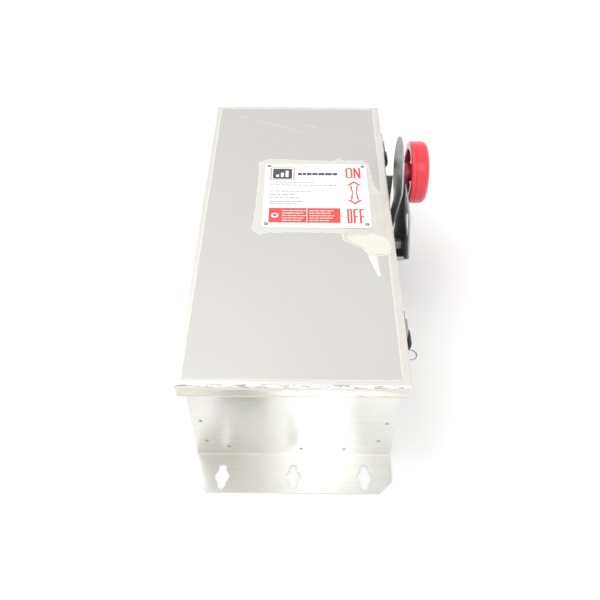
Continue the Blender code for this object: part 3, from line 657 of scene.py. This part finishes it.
class DISCONNECT_OT_cover(bpy.types.Operator):
    """Finishes the cover: bare steel, film, old adhesive and scratches"""

    bl_idname = "disconnect.cover"
    bl_label = "Cover and film"

    def execute(self, context):
        scene = context.scene
        metal = scene.disconnect_metal
        plate = scene.disconnect_plate
        dress(bare_cover("bare_cover_stainless", metal), "cover")
        film = protective_film("protective_film", metal)
        lifted = stretched_film("film_edge")
        edge, tear, halo, corner = film_outline(plate)
        inner = torn(tear + halo, 0.003, 0.0014, 3.0, closed=False) + halo[-1:]
        outline = edge + inner + corner
        sheet = outline_sheet(outline, on_cover, FILM)
        piece("protective_film", sheet, film, "cover")
        self.edges(edge, inner, corner, plate, lifted)
        self.adhesive(metal)
        self.fold()
        self.lip()
        self.scratches(lifted)
        return {"FINISHED"}

    def edges(self, edge, inner, corner, plate, lifted):
        """The lifted, milky line where the film stops."""
        opening = [edge[3]] + inner
        runs = (corner + edge[:1], edge[:2], edge[1:3], edge[2:4], opening, [inner[-1]] + corner)
        forms = []
        for run in runs:
            points = []
            for (ax, ay), (bx, by) in zip(run, run[1:]):
                steps = max(1, round(math.hypot(bx - ax, by - ay) / 0.004))
                points += [(ax + (bx - ax) * i / steps, ay + (by - ay) * i / steps) for i in range(steps)]
            points.append(run[-1])
            if run is not opening:
                points = [self.waver(x, y) for x, y in points]
            swell = [0.7 * noise.noise(Vector((x * 260, y * 260, 5))) for x, y in points]
            widths = [plate.film_edge * (1 + more) for more in swell]
            forms.append(strip(points, widths, on_cover, 0.00024))
        piece("film_edge", forms, lifted, "cover")

    def waver(self, x, y):
        """Moves a point of a straight edge by up to half a millimetre."""
        away, along = (noise.noise(Vector((x * 90, y * 90, seed))) * 0.0005 for seed in (1, 2))
        return x + away, y + along

    def adhesive(self, metal):
        """A halo of adhesive under the plate, and the torn clots below its right corner."""
        px, py, _ = PLATE_LOW
        qx, qy, _ = PLATE_HIGH
        halo = [(qx - 0.033, py - 0.0085), (px - 0.002, py - 0.0125), (px - 0.0115, py - 0.004),
                (px - 0.0095, qy + 0.005), (px + 0.004, qy + 0.0115), (qx - 0.033, qy + 0.014),
                (qx - 0.004, qy + 0.0105), (qx + 0.0045, qy + 0.002), (qx + 0.0055, qy - 0.03),
                (qx + 0.010, qy - 0.045), (qx + 0.0135, qy - 0.0585), (qx - 0.02, qy - 0.0585),
                (qx - 0.02, py + 0.01)]
        outline = torn(halo, 0.004, 0.0012, 8.0)
        sheet = outline_sheet(outline, on_cover, 0.00008)
        glue = dried_adhesive("label_adhesive", metal.glue)
        piece("label_adhesive", sheet, glue, "cover")
        clots = [(qx - 0.031, py - 0.012), (qx - 0.012, py - 0.010), (qx + 0.002, py - 0.008),
                 (qx + 0.010, py - 0.013), (qx + 0.0185, py - 0.022), (qx + 0.0195, py - 0.041),
                 (qx + 0.006, py - 0.043), (qx - 0.004, py - 0.041), (qx - 0.012, py - 0.030),
                 (qx - 0.026, py - 0.020)]
        outline = torn(clots, 0.003, 0.003, 14.0)

        def lumpy(spot):
            fine = abs(noise.noise(Vector((spot.x * 520, spot.y * 520, 9))))
            return 0.0011 * abs(noise.noise(Vector((spot.x * 190, spot.y * 190, 4)))) + 0.0006 * fine

        lumps = outline_sheet(outline, on_cover, 0.0002, fine=2, lift=lumpy)
        thick = dried_adhesive("torn_adhesive", linear("#E1DFD6"), 0.36, 170.0, 0.9)
        piece("torn_adhesive", lumps, thick, "cover", smooth=60)
        start = (qx - 0.003, py - 0.043)
        tip = (qx + 0.003, py - 0.075)
        spike = [(start[0] - 0.004, start[1]), (tip[0] - 0.001, tip[1]),
                 (tip[0] + 0.002, tip[1] + 0.001), (start[0] + 0.006, start[1] + 0.001)]
        streak = outline_sheet(torn(spike, 0.004, 0.0009, 2.0), on_cover, 0.00022)
        piece("film_tail", streak, stretched_film("film_tail"), "cover")

    def fold(self):
        """Film wrapped over the near top edge, crinkled along its length."""
        radius = 0.002
        form = bmesh.new()
        rows = []
        turns = 8
        for x in stations(COVER_LOW[0] + 0.002, COVER_HIGH[0] - 0.002, 190):
            row = []
            for j in range(turns + 1):
                angle = math.radians(90 + 100 * j / turns)
                ripple = noise.noise(Vector((x * 210, j * 0.35, 7)))
                swell = radius + 0.00012 + 0.00075 * abs(ripple) * math.sin(math.pi * j / turns)
                y = COVER_LOW[1] + radius + swell * math.cos(angle)
                z = COVER_HIGH[2] - radius + swell * math.sin(angle)
                row.append(form.verts.new((x, y, z)))
            rows.append(row)
        for near, far in zip(rows, rows[1:]):
            for j in range(turns):
                form.faces.new((near[j], near[j + 1], far[j + 1], far[j]))
        bmesh.ops.recalc_face_normals(form, faces=form.faces)
        if sum(f.normal.z - f.normal.y for f in form.faces) < 0:
            bmesh.ops.reverse_faces(form, faces=form.faces)
        bmesh.ops.solidify(form, geom=form.faces[:], thickness=0.00008)
        piece("folded_film", form, creased_film("creased_film"), "cover", smooth=80)

    def lip(self):
        """Adhesive left along the near lip, heavier at its two ends."""
        top = COVER_HIGH[2] - 0.0022
        low = COVER_LOW[0] + 0.0025
        high = COVER_HIGH[0] - 0.0025
        edge = []
        for x in stations(low, high, 120):
            ends = max(0.0, abs(x) - 0.084) / 0.024
            drip = max(0.0, noise.noise(Vector((x * 130, 3, 9))))
            edge.append((x, top - (0.0035 + 0.007 * min(1.0, ends) + 0.0044 * drip)))
        outline = edge + [(high, top), (low, top)]

        def on_lip(x, z, height):
            return Vector((x, COVER_LOW[1] - SKIN - height, z))

        thickness = 0.00012
        head = outline_sheet(outline, on_lip, thickness)
        lower = []
        bottom = COVER_LOW[2] + 0.0006
        for x in stations(low, high, 120):
            clot = max(0.0, noise.noise(Vector((x * 90, 8, 2))) - 0.05)
            lower.append((x, bottom + 0.0012 + 0.004 * clot))
        foot = outline_sheet([(low, bottom), (high, bottom)] + lower[::-1], on_lip, thickness)
        glue = dried_adhesive("lip_adhesive", linear("#DDDBD1"), 0.5, 180.0, 0.35)
        piece("lip_adhesive", [head, foot], glue, "cover")

    def scratches(self, lifted):
        """Two long scratches and small nicks in the film."""
        lines = (
            ((-0.056, 0.197), (-0.03, 0.186), (0.012, 0.167)),
            ((0.0095, 0.1865), (0.028, 0.178)),
            ((-0.075, 0.207), (-0.062, 0.199)),
        )
        forms = []
        for line in lines:
            points = []
            for (ax, ay), (bx, by) in zip(line, line[1:]):
                points += [(ax + (bx - ax) * t / 8, ay + (by - ay) * t / 8) for t in range(8)]
            points.append(line[-1])
            count = len(points)
            widths = [0.0002 + 0.0006 * math.sin(math.pi * i / (count - 1)) for i in range(count)]
            forms.append(strip(points, widths, lambda a, b, h: on_cover(a, b, h + FILM), 0.00005))
        piece("scratches", forms, lifted, "cover")


class DISCONNECT_OT_nameplate(bpy.types.Operator):
    """Prints the plate with plain marks and rivets it down"""

    bl_idname = "disconnect.nameplate"
    bl_label = "Nameplate"

    def execute(self, context):
        plate = context.scene.disconnect_plate
        metal = context.scene.disconnect_metal
        dress(moulded_plastic("white_plate", plate.white, 0.3, 300.0, 0.00001), "nameplate")
        self.left = PLATE_LOW[0]
        self.low = PLATE_LOW[1]
        prints = (
            ("red_print", plate.red, self.red_marks()),
            ("dark_print", plate.ink, self.dark_marks()),
            ("grey_print", linear("#9AA0A2"), self.grey_marks()),
            ("white_print", plate.white, self.white_marks()),
        )
        for name, colour, forms in prints:
            piece(name, forms, print_ink(name, colour), "cover")
        rivets = mill_stainless("rivet_stainless", metal, 0.3)
        spots = []
        for x in (PLATE_LOW[0] + 0.0045, PLATE_HIGH[0] - 0.0045):
            for y in (PLATE_LOW[1] + 0.006, PLATE_HIGH[1] - 0.004):
                spots.append(((x, y, PLATE_HIGH[2]), (0, 0, 1)))
        fasteners("plate_rivets", spots, plate.rivet, 0.0008, rivets, "cover")
        # A flat dark grey ring under each rivet is painted shadow round its hole.
        rivet_shadow_ink = print_ink("rivet_hole_shadow", linear("#4A4A48"))
        fasteners("rivet_shadow_rings", spots, plate.rivet * 1.5, 0.00022, rivet_shadow_ink, "cover")
        return {"FINISHED"}

    def spot(self, layer):
        return lambda a, b, h: on_plate(self.left + a * MM, self.low + b * MM, h + layer * INK)

    def bar(self, x, y, wide, tall, layer=0):
        return slab((x, y), (x + wide, y + tall), self.spot(layer), INK)

    def greeked(self, x, y, run, tall, seed, layer=0):
        """A line of plain dashes in place of words."""
        forms = []
        end = x + run
        step = 0
        while x < end - 1.5:
            word = 4.0 + 9.0 * abs(noise.noise(Vector((x * 0.7, y * 0.9, seed + step))))
            word = min(word, end - x)
            forms.append(self.bar(x, y, word, tall, layer))
            x += word + 0.8
            step += 1
        return forms

    def letter(self, shape, x, y, wide, tall):
        """One block letter; O is a ring and the others are single outlines."""
        right = x + wide
        top = y + tall
        if shape == "O":
            turn = wide * 0.42
            outer = rounded((x, y), (right, top), turn)
            inner = rounded((x + STROKE, y + STROKE), (right - STROKE, top - STROKE), max(0.2, turn - STROKE))
            return band(outer, inner, self.spot(0), INK)
        if shape == "N":
            slant = tall * 0.6
            outline = [(x, y), (x + STROKE, y), (x + STROKE, y + slant), (right - STROKE, y), (right, y)]
            outline += [(right, top), (right - STROKE, top), (right - STROKE, top - slant)]
            outline += [(x + STROKE, top), (x, top)]
        else:
            bar = y + tall * 0.42
            arm = x + wide * 0.86
            outline = [(x, y), (x + STROKE, y), (x + STROKE, bar), (arm, bar), (arm, bar + STROKE)]
            outline += [(x + STROKE, bar + STROKE), (x + STROKE, top - STROKE)]
            outline += [(right, top - STROKE), (right, top), (x, top)]
        return outline_sheet(outline, self.spot(0), INK)

    def word(self, text, x, y, wide, tall):
        """Plain block lettering for the two switch positions."""
        gap = 1.1
        each = (wide - gap * (len(text) - 1)) / len(text)
        return [self.letter(shape, x + i * (each + gap), y, each, tall) for i, shape in enumerate(text)]

    def arrow(self, centre, half, head, wide, shaft, layer):
        """A double-ended arrow with a waisted shaft."""
        x, y = centre
        side = [(x + shaft, y - half + head), (x + shaft * 0.62, y), (x + shaft, y + half - head)]
        outline = [(x, y - half), (x + wide, y - half + head)] + side
        outline += [(x + wide, y + half - head), (x, y + half), (x - wide, y + half - head)]
        outline += [(2 * x - a, b) for a, b in reversed(side)]
        outline += [(x - wide, y - half + head)]
        return outline_sheet(outline, self.spot(layer), INK)

    def red_marks(self):
        forms = [self.bar(7.0, 8.0, 81.0, 25.4)]
        frame_line = (rounded((6.6, 84.6), (35.2, 109.4), 1.6), rounded((7.7, 85.7), (34.1, 108.3), 0.8))
        forms.append(band(*frame_line, self.spot(0), INK))
        forms += self.word("ON", 96.4, 89.0, 18.0, 20.6)
        forms += self.word("OFF", 95.6, 7.4, 19.8, 25.2)
        forms.append(self.arrow((105.6, 62.0), 21.6, 8.4, 9.0, 4.9, 0))
        return forms

    def dark_marks(self):
        forms = [outline_sheet(rounded((9.4, 87.2), (32.4, 106.8), 2.0), self.spot(0), INK)]
        forms += self.greeked(39.5, 94.6, 47.0, 4.6, 2.0)
        return forms

    def grey_marks(self):
        forms = []
        for x, y, run in ((7.0, 80.0, 52.0), (7.0, 74.5, 78.0), (7.0, 63.0, 48.0), (7.0, 56.4, 31.0),
                          (7.0, 51.6, 36.0), (7.0, 43.8, 40.0), (7.0, 39.6, 34.0)):
            forms += self.greeked(x, y, run, 1.7, 4.0)
        forms += self.greeked(90.0, 4.2, 22.0, 1.0, 6.0)
        return forms

    def white_marks(self):
        forms = [self.bar(13.4 + 5.6 * i, 90.8, 3.4, 4.4 + 3.8 * i, 1) for i in range(3)]
        forms.append(self.arrow((105.6, 62.0), 18.2, 5.2, 5.2, 2.7, 1))
        forms.append(self.bar(49.8, 9.0, 0.7, 23.4, 1))
        for x in (22.0, 53.0):
            for row, run in enumerate((22.0, 26.0, 28.0, 24.0, 27.0)):
                forms += self.greeked(x, 11.2 + 4.2 * row, run, 1.1, 9.0 + row, 1)
        outer, inner = (arc((14.0, 20.5), radius, 0, 360, 20)[:-1] for radius in (4.2, 2.4))
        forms.append(band(outer, inner, self.spot(1), INK))
        return forms


class DISCONNECT_OT_enclosure(bpy.types.Operator):
    """Finishes the body, its end panels and its welds"""

    bl_idname = "disconnect.enclosure"
    bl_label = "Enclosure"

    def execute(self, context):
        metal = context.scene.disconnect_metal
        dress(brushed_stainless("brushed_wrapper", metal, "Y", (0.7, 0.0, 0.7)), "wrapper")
        walls = brushed_stainless("brushed_end_panel", metal, "X", (0.0, 0.7, 0.7))
        dress(walls, "bottom_end_panel", "top_end_panel")
        rubber = moulded_plastic("gasket_rubber", linear("#1E1E1D"), 0.8, 400.0, 0.0001)
        dress(rubber, "gasket", "shaft_seal")
        self.welds()
        return {"FINISHED"}

    def welds(self):
        """Resistance spot welds: shallow dimples with a browned ring, on both end walls."""
        mark = plated("spot_weld", linear("#D2CDC2"), linear("#A89C8A"), 0.4, 900.0)
        core = plated("spot_weld_core", linear("#8F897D"), linear("#6A6358"), 0.35, 900.0)
        places = [(-0.091, 0.062), (-0.088, 0.026), (-0.066, 0.016), (0.008, 0.012)]
        places += [(0.052, 0.012), (0.086, 0.028), (0.092, 0.060)]
        spots = [((x, END_WALL * end, z), (0, end, 0)) for end in (-1, 1) for x, z in places]
        fasteners("spot_welds", spots, 0.0022, 0.00018, mark, "enclosure")
        fasteners("spot_weld_cores", spots, 0.0011, 0.00028, core, "enclosure")


class DISCONNECT_OT_knob(bpy.types.Operator):
    """Turns the knob with its recess, hub and ribs"""

    bl_idname = "disconnect.knob"
    bl_label = "Knob"

    def execute(self, context):
        knob = context.scene.disconnect_knob
        red = moulded_plastic("red_moulding", knob.red, 0.22, 700.0, 0.00002, coat=0.6)
        centre = [(a + b) / 2 for a, b in zip(KNOB_LOW, KNOB_HIGH)]
        radius = (KNOB_HIGH[1] - KNOB_LOW[1]) / 2
        inner = KNOB_LOW[0]
        outer = KNOB_HIGH[0]
        rim = knob.rounding
        profile = [(0.0, outer - 0.002), (0.012, outer - 0.0016), (0.0155, outer - 0.0009)]
        profile += [(radius - rim - 0.003, outer - 0.0001)]
        profile += [(r, x) for x, r in arc((outer - rim, radius - rim), rim, 0, 90, 14)]
        profile += [(radius, inner + 0.0068), (radius - 0.0004, inner + 0.0064)]
        profile += [(radius - 0.0004, inner + 0.0058), (radius, inner + 0.0054)]
        profile += [(r, x) for x, r in arc((inner + 0.0022, radius - 0.0022), 0.0022, 90, 180, 6)]
        wall = radius - knob.wall - 0.0025
        profile += [(r, x) for x, r in arc((inner + 0.0012, wall + 0.0012), 0.0012, 180, 270, 4)]
        floor = inner + 0.015
        profile += [(wall - 0.0008, floor - 0.001), (wall - 0.002, floor)]
        profile += [(0.0165, floor), (0.0152, floor - 0.001), (0.0145, inner + 0.0042)]
        profile += [(0.0136, inner + 0.0032), (0.0095, inner + 0.0030), (0.0, inner + 0.0030)]
        obj = piece("knob_moulding", turned(profile, centre, 128), red, "handle", 32)
        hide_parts("knob")
        self.ribs(centre, inner, floor, wall, knob, red)
        low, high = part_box("knob_stud")
        stud = (high[1] - low[1]) / 2
        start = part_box("handle_lever")[1][0] + 0.0003
        sleeve = [(stud + 0.0001, start), (stud + 0.0012, start)]
        sleeve += [(stud + 0.0020, inner + 0.0028), (stud + 0.0001, inner + 0.0028)]
        piece("knob_sleeve", turned(sleeve, centre, 64), red, "handle", 32)
        return {"FINISHED"}

    def ribs(self, centre, inner, floor, wall, knob, red):
        """Flat ribs from the hub to the rim's wall, standing on the recess's floor."""
        hub = 0.0135
        size = (floor - inner - 0.003, wall - hub, knob.rib)
        out = Matrix.Translation(((inner + 0.004 + floor) / 2, hub + size[1] / 2, 0))
        forms = []
        for i in range(knob.ribs):
            form = bmesh.new()
            turn = Matrix.Rotation(math.radians(45 + 360 / knob.ribs * i), 4, "X")
            place = Matrix.Translation((0, centre[1], centre[2])) @ turn @ out
            bmesh.ops.create_cube(form, size=1.0, matrix=place @ Matrix.Diagonal((*size, 1.0)))
            rounding = {"offset": 0.0004, "segments": 2, "profile": 0.5, "affect": "EDGES"}
            bmesh.ops.bevel(form, geom=form.edges[:], **rounding)
            forms.append(form)
        piece("knob_ribs", forms, red, "handle", 40)


class DISCONNECT_OT_handle(bpy.types.Operator):
    """Finishes the bracket, lever, shaft and drive"""

    bl_idname = "disconnect.handle"
    bl_label = "Handle"

    def execute(self, context):
        metal = context.scene.disconnect_metal
        # 0.066 is the reach of the near-black round the pivot on bracket and lever: old greasy dirt and
        # painted shade.
        dress(mill_stainless("bracket_stainless", metal, 0.42, 0.066, 0.5), "handle_bracket")
        dress(mill_stainless("lever_stainless", metal, 0.26, 0.066), "handle_lever")
        zinc = plated("zinc_plate", linear("#B8B6AE"), linear("#8E8B80"), 0.32)
        dress(zinc, "handle_shaft", "knob_stud", "drive_crank", "drive_link")
        dress(zinc, "mechanism_plate", "mounting_pan")
        dress(moulded_plastic("bushing_nylon", linear("#26262A"), 0.5), "shaft_bushing")
        low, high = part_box("handle_bracket")
        inside = low[0] + 0.0016
        upper = high[2] - 0.0365
        lower = low[2] + 0.014
        places = ((low[1] + 0.018, upper), (high[1] - 0.013, upper),
                  (high[1] - 0.013, lower), (high[1] - 0.045, lower))
        spots = [((inside + 0.0012, y, z), (1, 0, 0)) for y, z in places]
        fasteners("bracket_screws", spots, 0.0045, 0.0026, zinc, "enclosure", slotted=True)
        return {"FINISHED"}


class DISCONNECT_OT_latches(bpy.types.Operator):
    """Finishes the latches, their grips and the wire ring"""

    bl_idname = "disconnect.latches"
    bl_label = "Latches"

    def execute(self, context):
        scene = context.scene
        metal = scene.disconnect_metal
        steel = mill_stainless("latch_stainless", metal, 0.22)
        parts = ["latch_base", "latch_lever", "latch_pin", "strike"]
        dress(steel, *[f"{name}_{i}" for name in parts for i in (1, 2)])
        grip = moulded_plastic("grip_plastic", scene.disconnect_knob.black, 0.4, 600.0, 0.00005)
        dress(grip, "latch_grip_1", "latch_grip_2")
        self.ring(steel)
        spots = []
        for number in (1, 2):
            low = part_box(f"latch_base_{number}")[0]
            lever_low, lever_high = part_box(f"latch_lever_{number}")
            y = (lever_low[1] + lever_high[1]) / 2
            for z in (low[2] + 0.006, low[2] + 0.025):
                spots.append(((low[0] + 0.0012, y, z), (1, 0, 0)))
        fasteners("latch_rivets", spots, 0.0026, 0.0012, steel, "enclosure")
        return {"FINISHED"}

    def ring(self, steel):
        low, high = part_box("latch_ring")
        centre = Vector([(a + b) / 2 for a, b in zip(low, high)])
        wire = (high[2] - low[2]) / 2
        radius = (high[0] - low[0]) / 2 - wire
        form = bmesh.new()
        rings = []
        around = 64
        across = 14
        for i in range(around):
            out = Vector((math.cos(2 * math.pi * i / around), math.sin(2 * math.pi * i / around), 0))
            turn = [2 * math.pi * j / across for j in range(across)]
            section = [(radius + wire * math.cos(a), wire * math.sin(a)) for a in turn]
            rings.append([form.verts.new(centre + out * r + Vector((0, 0, z))) for r, z in section])
        bridge(form, rings)
        bmesh.ops.recalc_face_normals(form, faces=form.faces)
        obj = piece("wire_ring", form, steel, "latch_ring", 60)
        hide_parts("latch_ring")


class DISCONNECT_OT_hinges(bpy.types.Operator):
    """Finishes the hinge leaves and pins"""

    bl_idname = "disconnect.hinges"
    bl_label = "Hinges"

    def execute(self, context):
        metal = context.scene.disconnect_metal
        steel = mill_stainless("hinge_stainless", metal, 0.26)
        parts = ("hinge_body_leaf", "hinge_cover_leaf", "hinge_pin")
        dress(steel, *[f"{name}_{i}" for name in parts for i in (1, 2)])
        spots = []
        for number in (1, 2):
            low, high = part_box(f"hinge_body_leaf_{number}")
            middle = (low[1] + high[1]) / 2
            for y in (middle - 0.014, middle, middle + 0.014):
                spots.append(((low[0] + 0.0036, y, low[2] + 0.007), (-1, 0, 0)))
        fasteners("hinge_rivets", spots, 0.0024, 0.0008, steel, "enclosure")
        return {"FINISHED"}


class DISCONNECT_OT_switch(bpy.types.Operator):
    """Finishes the switch: base, rotor, blades, jaws, lugs and shield"""

    bl_idname = "disconnect.switch"
    bl_label = "Switch"

    def execute(self, context):
        black = moulded_plastic("base_thermoset", linear("#2A2A2B"), 0.55, 350.0, 0.00008)
        dress(black, "switch_base", "rotor_bar")
        copper = plated("tinned_copper", linear("#D6A489"), linear("#A9745A"), 0.28)
        dress(copper, *numbered("blade", "line_jaw"))
        alloy = plated("lug_aluminium", linear("#C9CACC"), linear("#A2A3A5"), 0.35, 500.0)
        dress(alloy, *numbered("line_lug"), "ground_bar")
        dress(clear_polycarbonate("clear_polycarbonate"), "line_shield")
        zinc = plated("screw_zinc", linear("#C2BFB4"), linear("#8F8B7E"), 0.3, 300.0)
        low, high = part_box("switch_base")
        seat = 0.024  # height of the base's foot, where its screws sit
        spots = []
        for x in (low[0] + 0.023, (low[0] + high[0]) / 2, high[0] - 0.023):
            for y in (low[1] + 0.01, high[1] - 0.012):
                spots.append(((x, y, seat + 0.0012), (0, 0, 1)))
        fasteners("base_screws", spots, 0.004, 0.0026, zinc, "enclosure", slotted=True)
        bar_low, bar_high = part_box("ground_bar")
        middle = (bar_low[0] + bar_high[0]) / 2
        places = [bar_low[1] + 0.006 + 0.0105 * i for i in range(3)]
        spots = [((middle, y, bar_high[2] + 0.001), (0, 0, 1)) for y in places]
        fasteners("ground_screws", spots, 0.0036, 0.0022, zinc, "enclosure", slotted=True)
        return {"FINISHED"}


class DISCONNECT_OT_fuses(bpy.types.Operator):
    """Finishes the fuse base, clips, load lugs and fuses, with ferrules and bands"""

    bl_idname = "disconnect.fuses"
    bl_label = "Fuses"

    def execute(self, context):
        dress(moulded_plastic("fuse_base_thermoset", linear("#333030"), 0.6, 350.0, 0.00008), "fuse_base")
        copper = plated("spring_copper", linear("#D3A185"), linear("#A06D52"), 0.26)
        dress(copper, *numbered("line_fuse_clip", "load_fuse_clip"))
        alloy = plated("load_aluminium", linear("#C9CACC"), linear("#A2A3A5"), 0.35, 500.0)
        dress(alloy, *numbered("load_lug"))
        tube = moulded_plastic("wound_fibre", linear("#3F5A46"), 0.5, 260.0, 0.0001)
        dress(tube, *numbered("fuse"))
        brass = plated("ferrule_plate", linear("#D9CFB6"), linear("#A89C7C"), 0.22, 300.0)
        paper = print_ink("fuse_wrap", linear("#E9E7DE"))
        for number in (1, 2, 3):
            self.fuse(number, brass, paper)
        return {"FINISHED"}

    def fuse(self, number, brass, paper):
        """Ferrules over both ends and a plain wrap round the tube."""
        low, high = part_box(f"fuse_{number}")
        centre = ((low[0] + high[0]) / 2, 0.0, (low[2] + high[2]) / 2)
        radius = (high[0] - low[0]) / 2
        caps = []
        for start, end in ((low[1] - 0.0002, low[1] + 0.0162), (high[1] - 0.0162, high[1] + 0.0002)):
            profile = [(0.0, start), (radius - 0.0008, start), (radius + 0.0001, start + 0.0009)]
            profile += [(radius + 0.0001, end - 0.0009), (radius - 0.0003, end), (0.0, end)]
            caps.append(self.along_y(profile, centre, 40))
        piece(f"fuse_ferrules_{number}", caps, brass, f"fuse_{number}", smooth=35)
        inner = radius - 0.0008
        profile = [(inner - 0.0004, low[1] + 0.024), (inner + 0.0001, low[1] + 0.0242)]
        profile += [(inner + 0.0001, high[1] - 0.0242), (inner - 0.0004, high[1] - 0.024)]
        wrap = self.along_y(profile, centre, 40)
        piece(f"fuse_wrap_{number}", wrap, paper, f"fuse_{number}", smooth=35)

    def along_y(self, profile, centre, segments):
        form = turned(profile, (0.0, 0.0, 0.0), segments)
        for vert in form.verts:
            vert.co = Vector((vert.co.y + centre[0], vert.co.x, vert.co.z + centre[2]))
        bmesh.ops.recalc_face_normals(form, faces=form.faces)
        return form


class DISCONNECT_OT_stage(bpy.types.Operator):
    """Sets the floor, the soft light and the camera"""

    bl_idname = "disconnect.stage"
    bl_label = "Stage"

    def execute(self, context):
        scene = context.scene
        stage = scene.disconnect_stage
        scene.view_settings.view_transform = "Standard"
        world = bpy.data.worlds.new("even_light")
        scene.world = world
        world.use_nodes = True
        sky = world.node_tree.nodes["Background"]
        sky.inputs["Color"].default_value = (*linear("#FFFFFF"), 1.0)
        sky.inputs["Strength"].default_value = stage.sky
        floor = bpy.data.meshes.new("floor")
        reach = 6.0
        corners = [(-reach, -reach), (reach, -reach), (reach, reach), (-reach, reach)]
        floor.from_pydata([(x, y, CAD_BOX[0][2] - 0.0003) for x, y in corners], [], [(0, 1, 2, 3)])
        floor.materials.append(blank("pale_floor", stage.floor, 0.7)[0])
        ground = bpy.data.objects.new("floor", floor)
        scene.collection.objects.link(ground)
        self.light("key", (-1.1, 0.3, 1.9), 1.8, stage.key)
        self.light("fill", (0.9, -0.9, 1.7), 1.2, stage.key * 0.25)
        self.cards()
        self.camera(scene, stage)
        return {"FINISHED"}

    def light(self, name, spot, size, power):
        lamp = bpy.data.lights.new(name, "AREA")
        lamp.shape = "SQUARE"
        lamp.size = size
        lamp.energy = power
        holder = bpy.data.objects.new(name, lamp)
        holder.location = spot
        holder.rotation_euler = (-Vector(spot)).to_track_quat("-Z", "Y").to_euler()
        bpy.context.scene.collection.objects.link(holder)

    def cards(self):
        """Grey flags and one bright strip in front, which only the brushed steel mirrors."""
        grey = blank("grey_flag", linear("#8A8A88"), 0.9)[0]
        dim = blank("dim_flag", linear("#545453"), 0.9)[0]
        tan = blank("tan_flag", linear("#D9B8A4"), 0.9)[0]
        glow, _, shader = blank("bright_strip", linear("#FFFFFF"), 0.9)
        shader.inputs["Emission Color"].default_value = (1.0, 1.0, 1.0, 1.0)
        shader.inputs["Emission Strength"].default_value = 4.5
        spots = (
            ("left_flag", -0.172, -0.01, grey, STANDING),
            ("right_flag", 0.115, 0.2, grey, STANDING),
            ("warm_flag", -0.23, -0.176, tan, STANDING),
            ("bright_strip", 0.0, 0.1, glow, STANDING),
            ("low_left_flag", -0.086, -0.03, dim, LYING),
            ("low_bright_strip", 0.012, 0.05, glow, LYING),
            ("low_warm_flag", -0.15, -0.125, tan, LYING),
        )
        for name, low, high, material, ((near_y, near_z), (far_y, far_z)) in spots:
            card = bpy.data.meshes.new(name)
            corners = [(low, near_y, near_z), (high, near_y, near_z)]
            corners += [(high, far_y, far_z), (low, far_y, far_z)]
            card.from_pydata(corners, [], [(0, 1, 2, 3)])
            card.materials.append(material)
            flag = bpy.data.objects.new(name, card)
            flag.visible_camera = False
            flag.visible_shadow = False
            flag.visible_diffuse = False
            bpy.context.scene.collection.objects.link(flag)

    def camera(self, scene, stage):
        view = bpy.data.cameras.new("camera")
        view.lens = stage.lens * 1000
        view.sensor_width = 36.0
        view.clip_start = 0.01
        eye = bpy.data.objects.new("camera", view)
        eye.location = stage.eye
        yaw = Matrix.Rotation(math.radians(0.235), 3, "Z")
        tilt = Matrix.Rotation(math.pi / 2 - stage.pitch, 3, "X")
        roll = Matrix.Rotation(math.radians(0.31), 3, "Z")
        eye.rotation_euler = (yaw @ tilt @ roll).to_euler()
        scene.collection.objects.link(eye)
        scene.camera = eye


OPERATORS = (
    DISCONNECT_OT_stage,
    DISCONNECT_OT_enclosure,
    DISCONNECT_OT_cover,
    DISCONNECT_OT_nameplate,
    DISCONNECT_OT_handle,
    DISCONNECT_OT_knob,
    DISCONNECT_OT_latches,
    DISCONNECT_OT_hinges,
    DISCONNECT_OT_switch,
    DISCONNECT_OT_fuses,
)


class DISCONNECT_PT_panel(bpy.types.Panel):
    """Lists the pieces of the switch"""

    bl_idname = "DISCONNECT_PT_panel"
    bl_label = "Fused disconnect switch"
    bl_space_type = "VIEW_3D"
    bl_region_type = "UI"
    bl_category = "Disconnect"

    def draw(self, context):
        for name, group in GROUPS.items():
            column = self.layout.column(align=True)
            for prop in group.__annotations__:
                column.prop(getattr(context.scene, name), prop)
        for operator in OPERATORS:
            self.layout.operator(operator.bl_idname)


def register():
    for name, group in GROUPS.items():
        bpy.utils.register_class(group)
        setattr(bpy.types.Scene, name, bpy.props.PointerProperty(type=group))
    for operator in OPERATORS:
        bpy.utils.register_class(operator)
    bpy.utils.register_class(DISCONNECT_PT_panel)


def unregister():
    bpy.utils.unregister_class(DISCONNECT_PT_panel)
    for operator in reversed(OPERATORS):
        bpy.utils.unregister_class(operator)
    for name, group in GROUPS.items():
        delattr(bpy.types.Scene, name)
        bpy.utils.unregister_class(group)


def main():
    register()
    for operator in OPERATORS:
        family, action = operator.bl_idname.split(".")
        getattr(getattr(bpy.ops, family), action)()


if __name__ == "__main__":
    main()
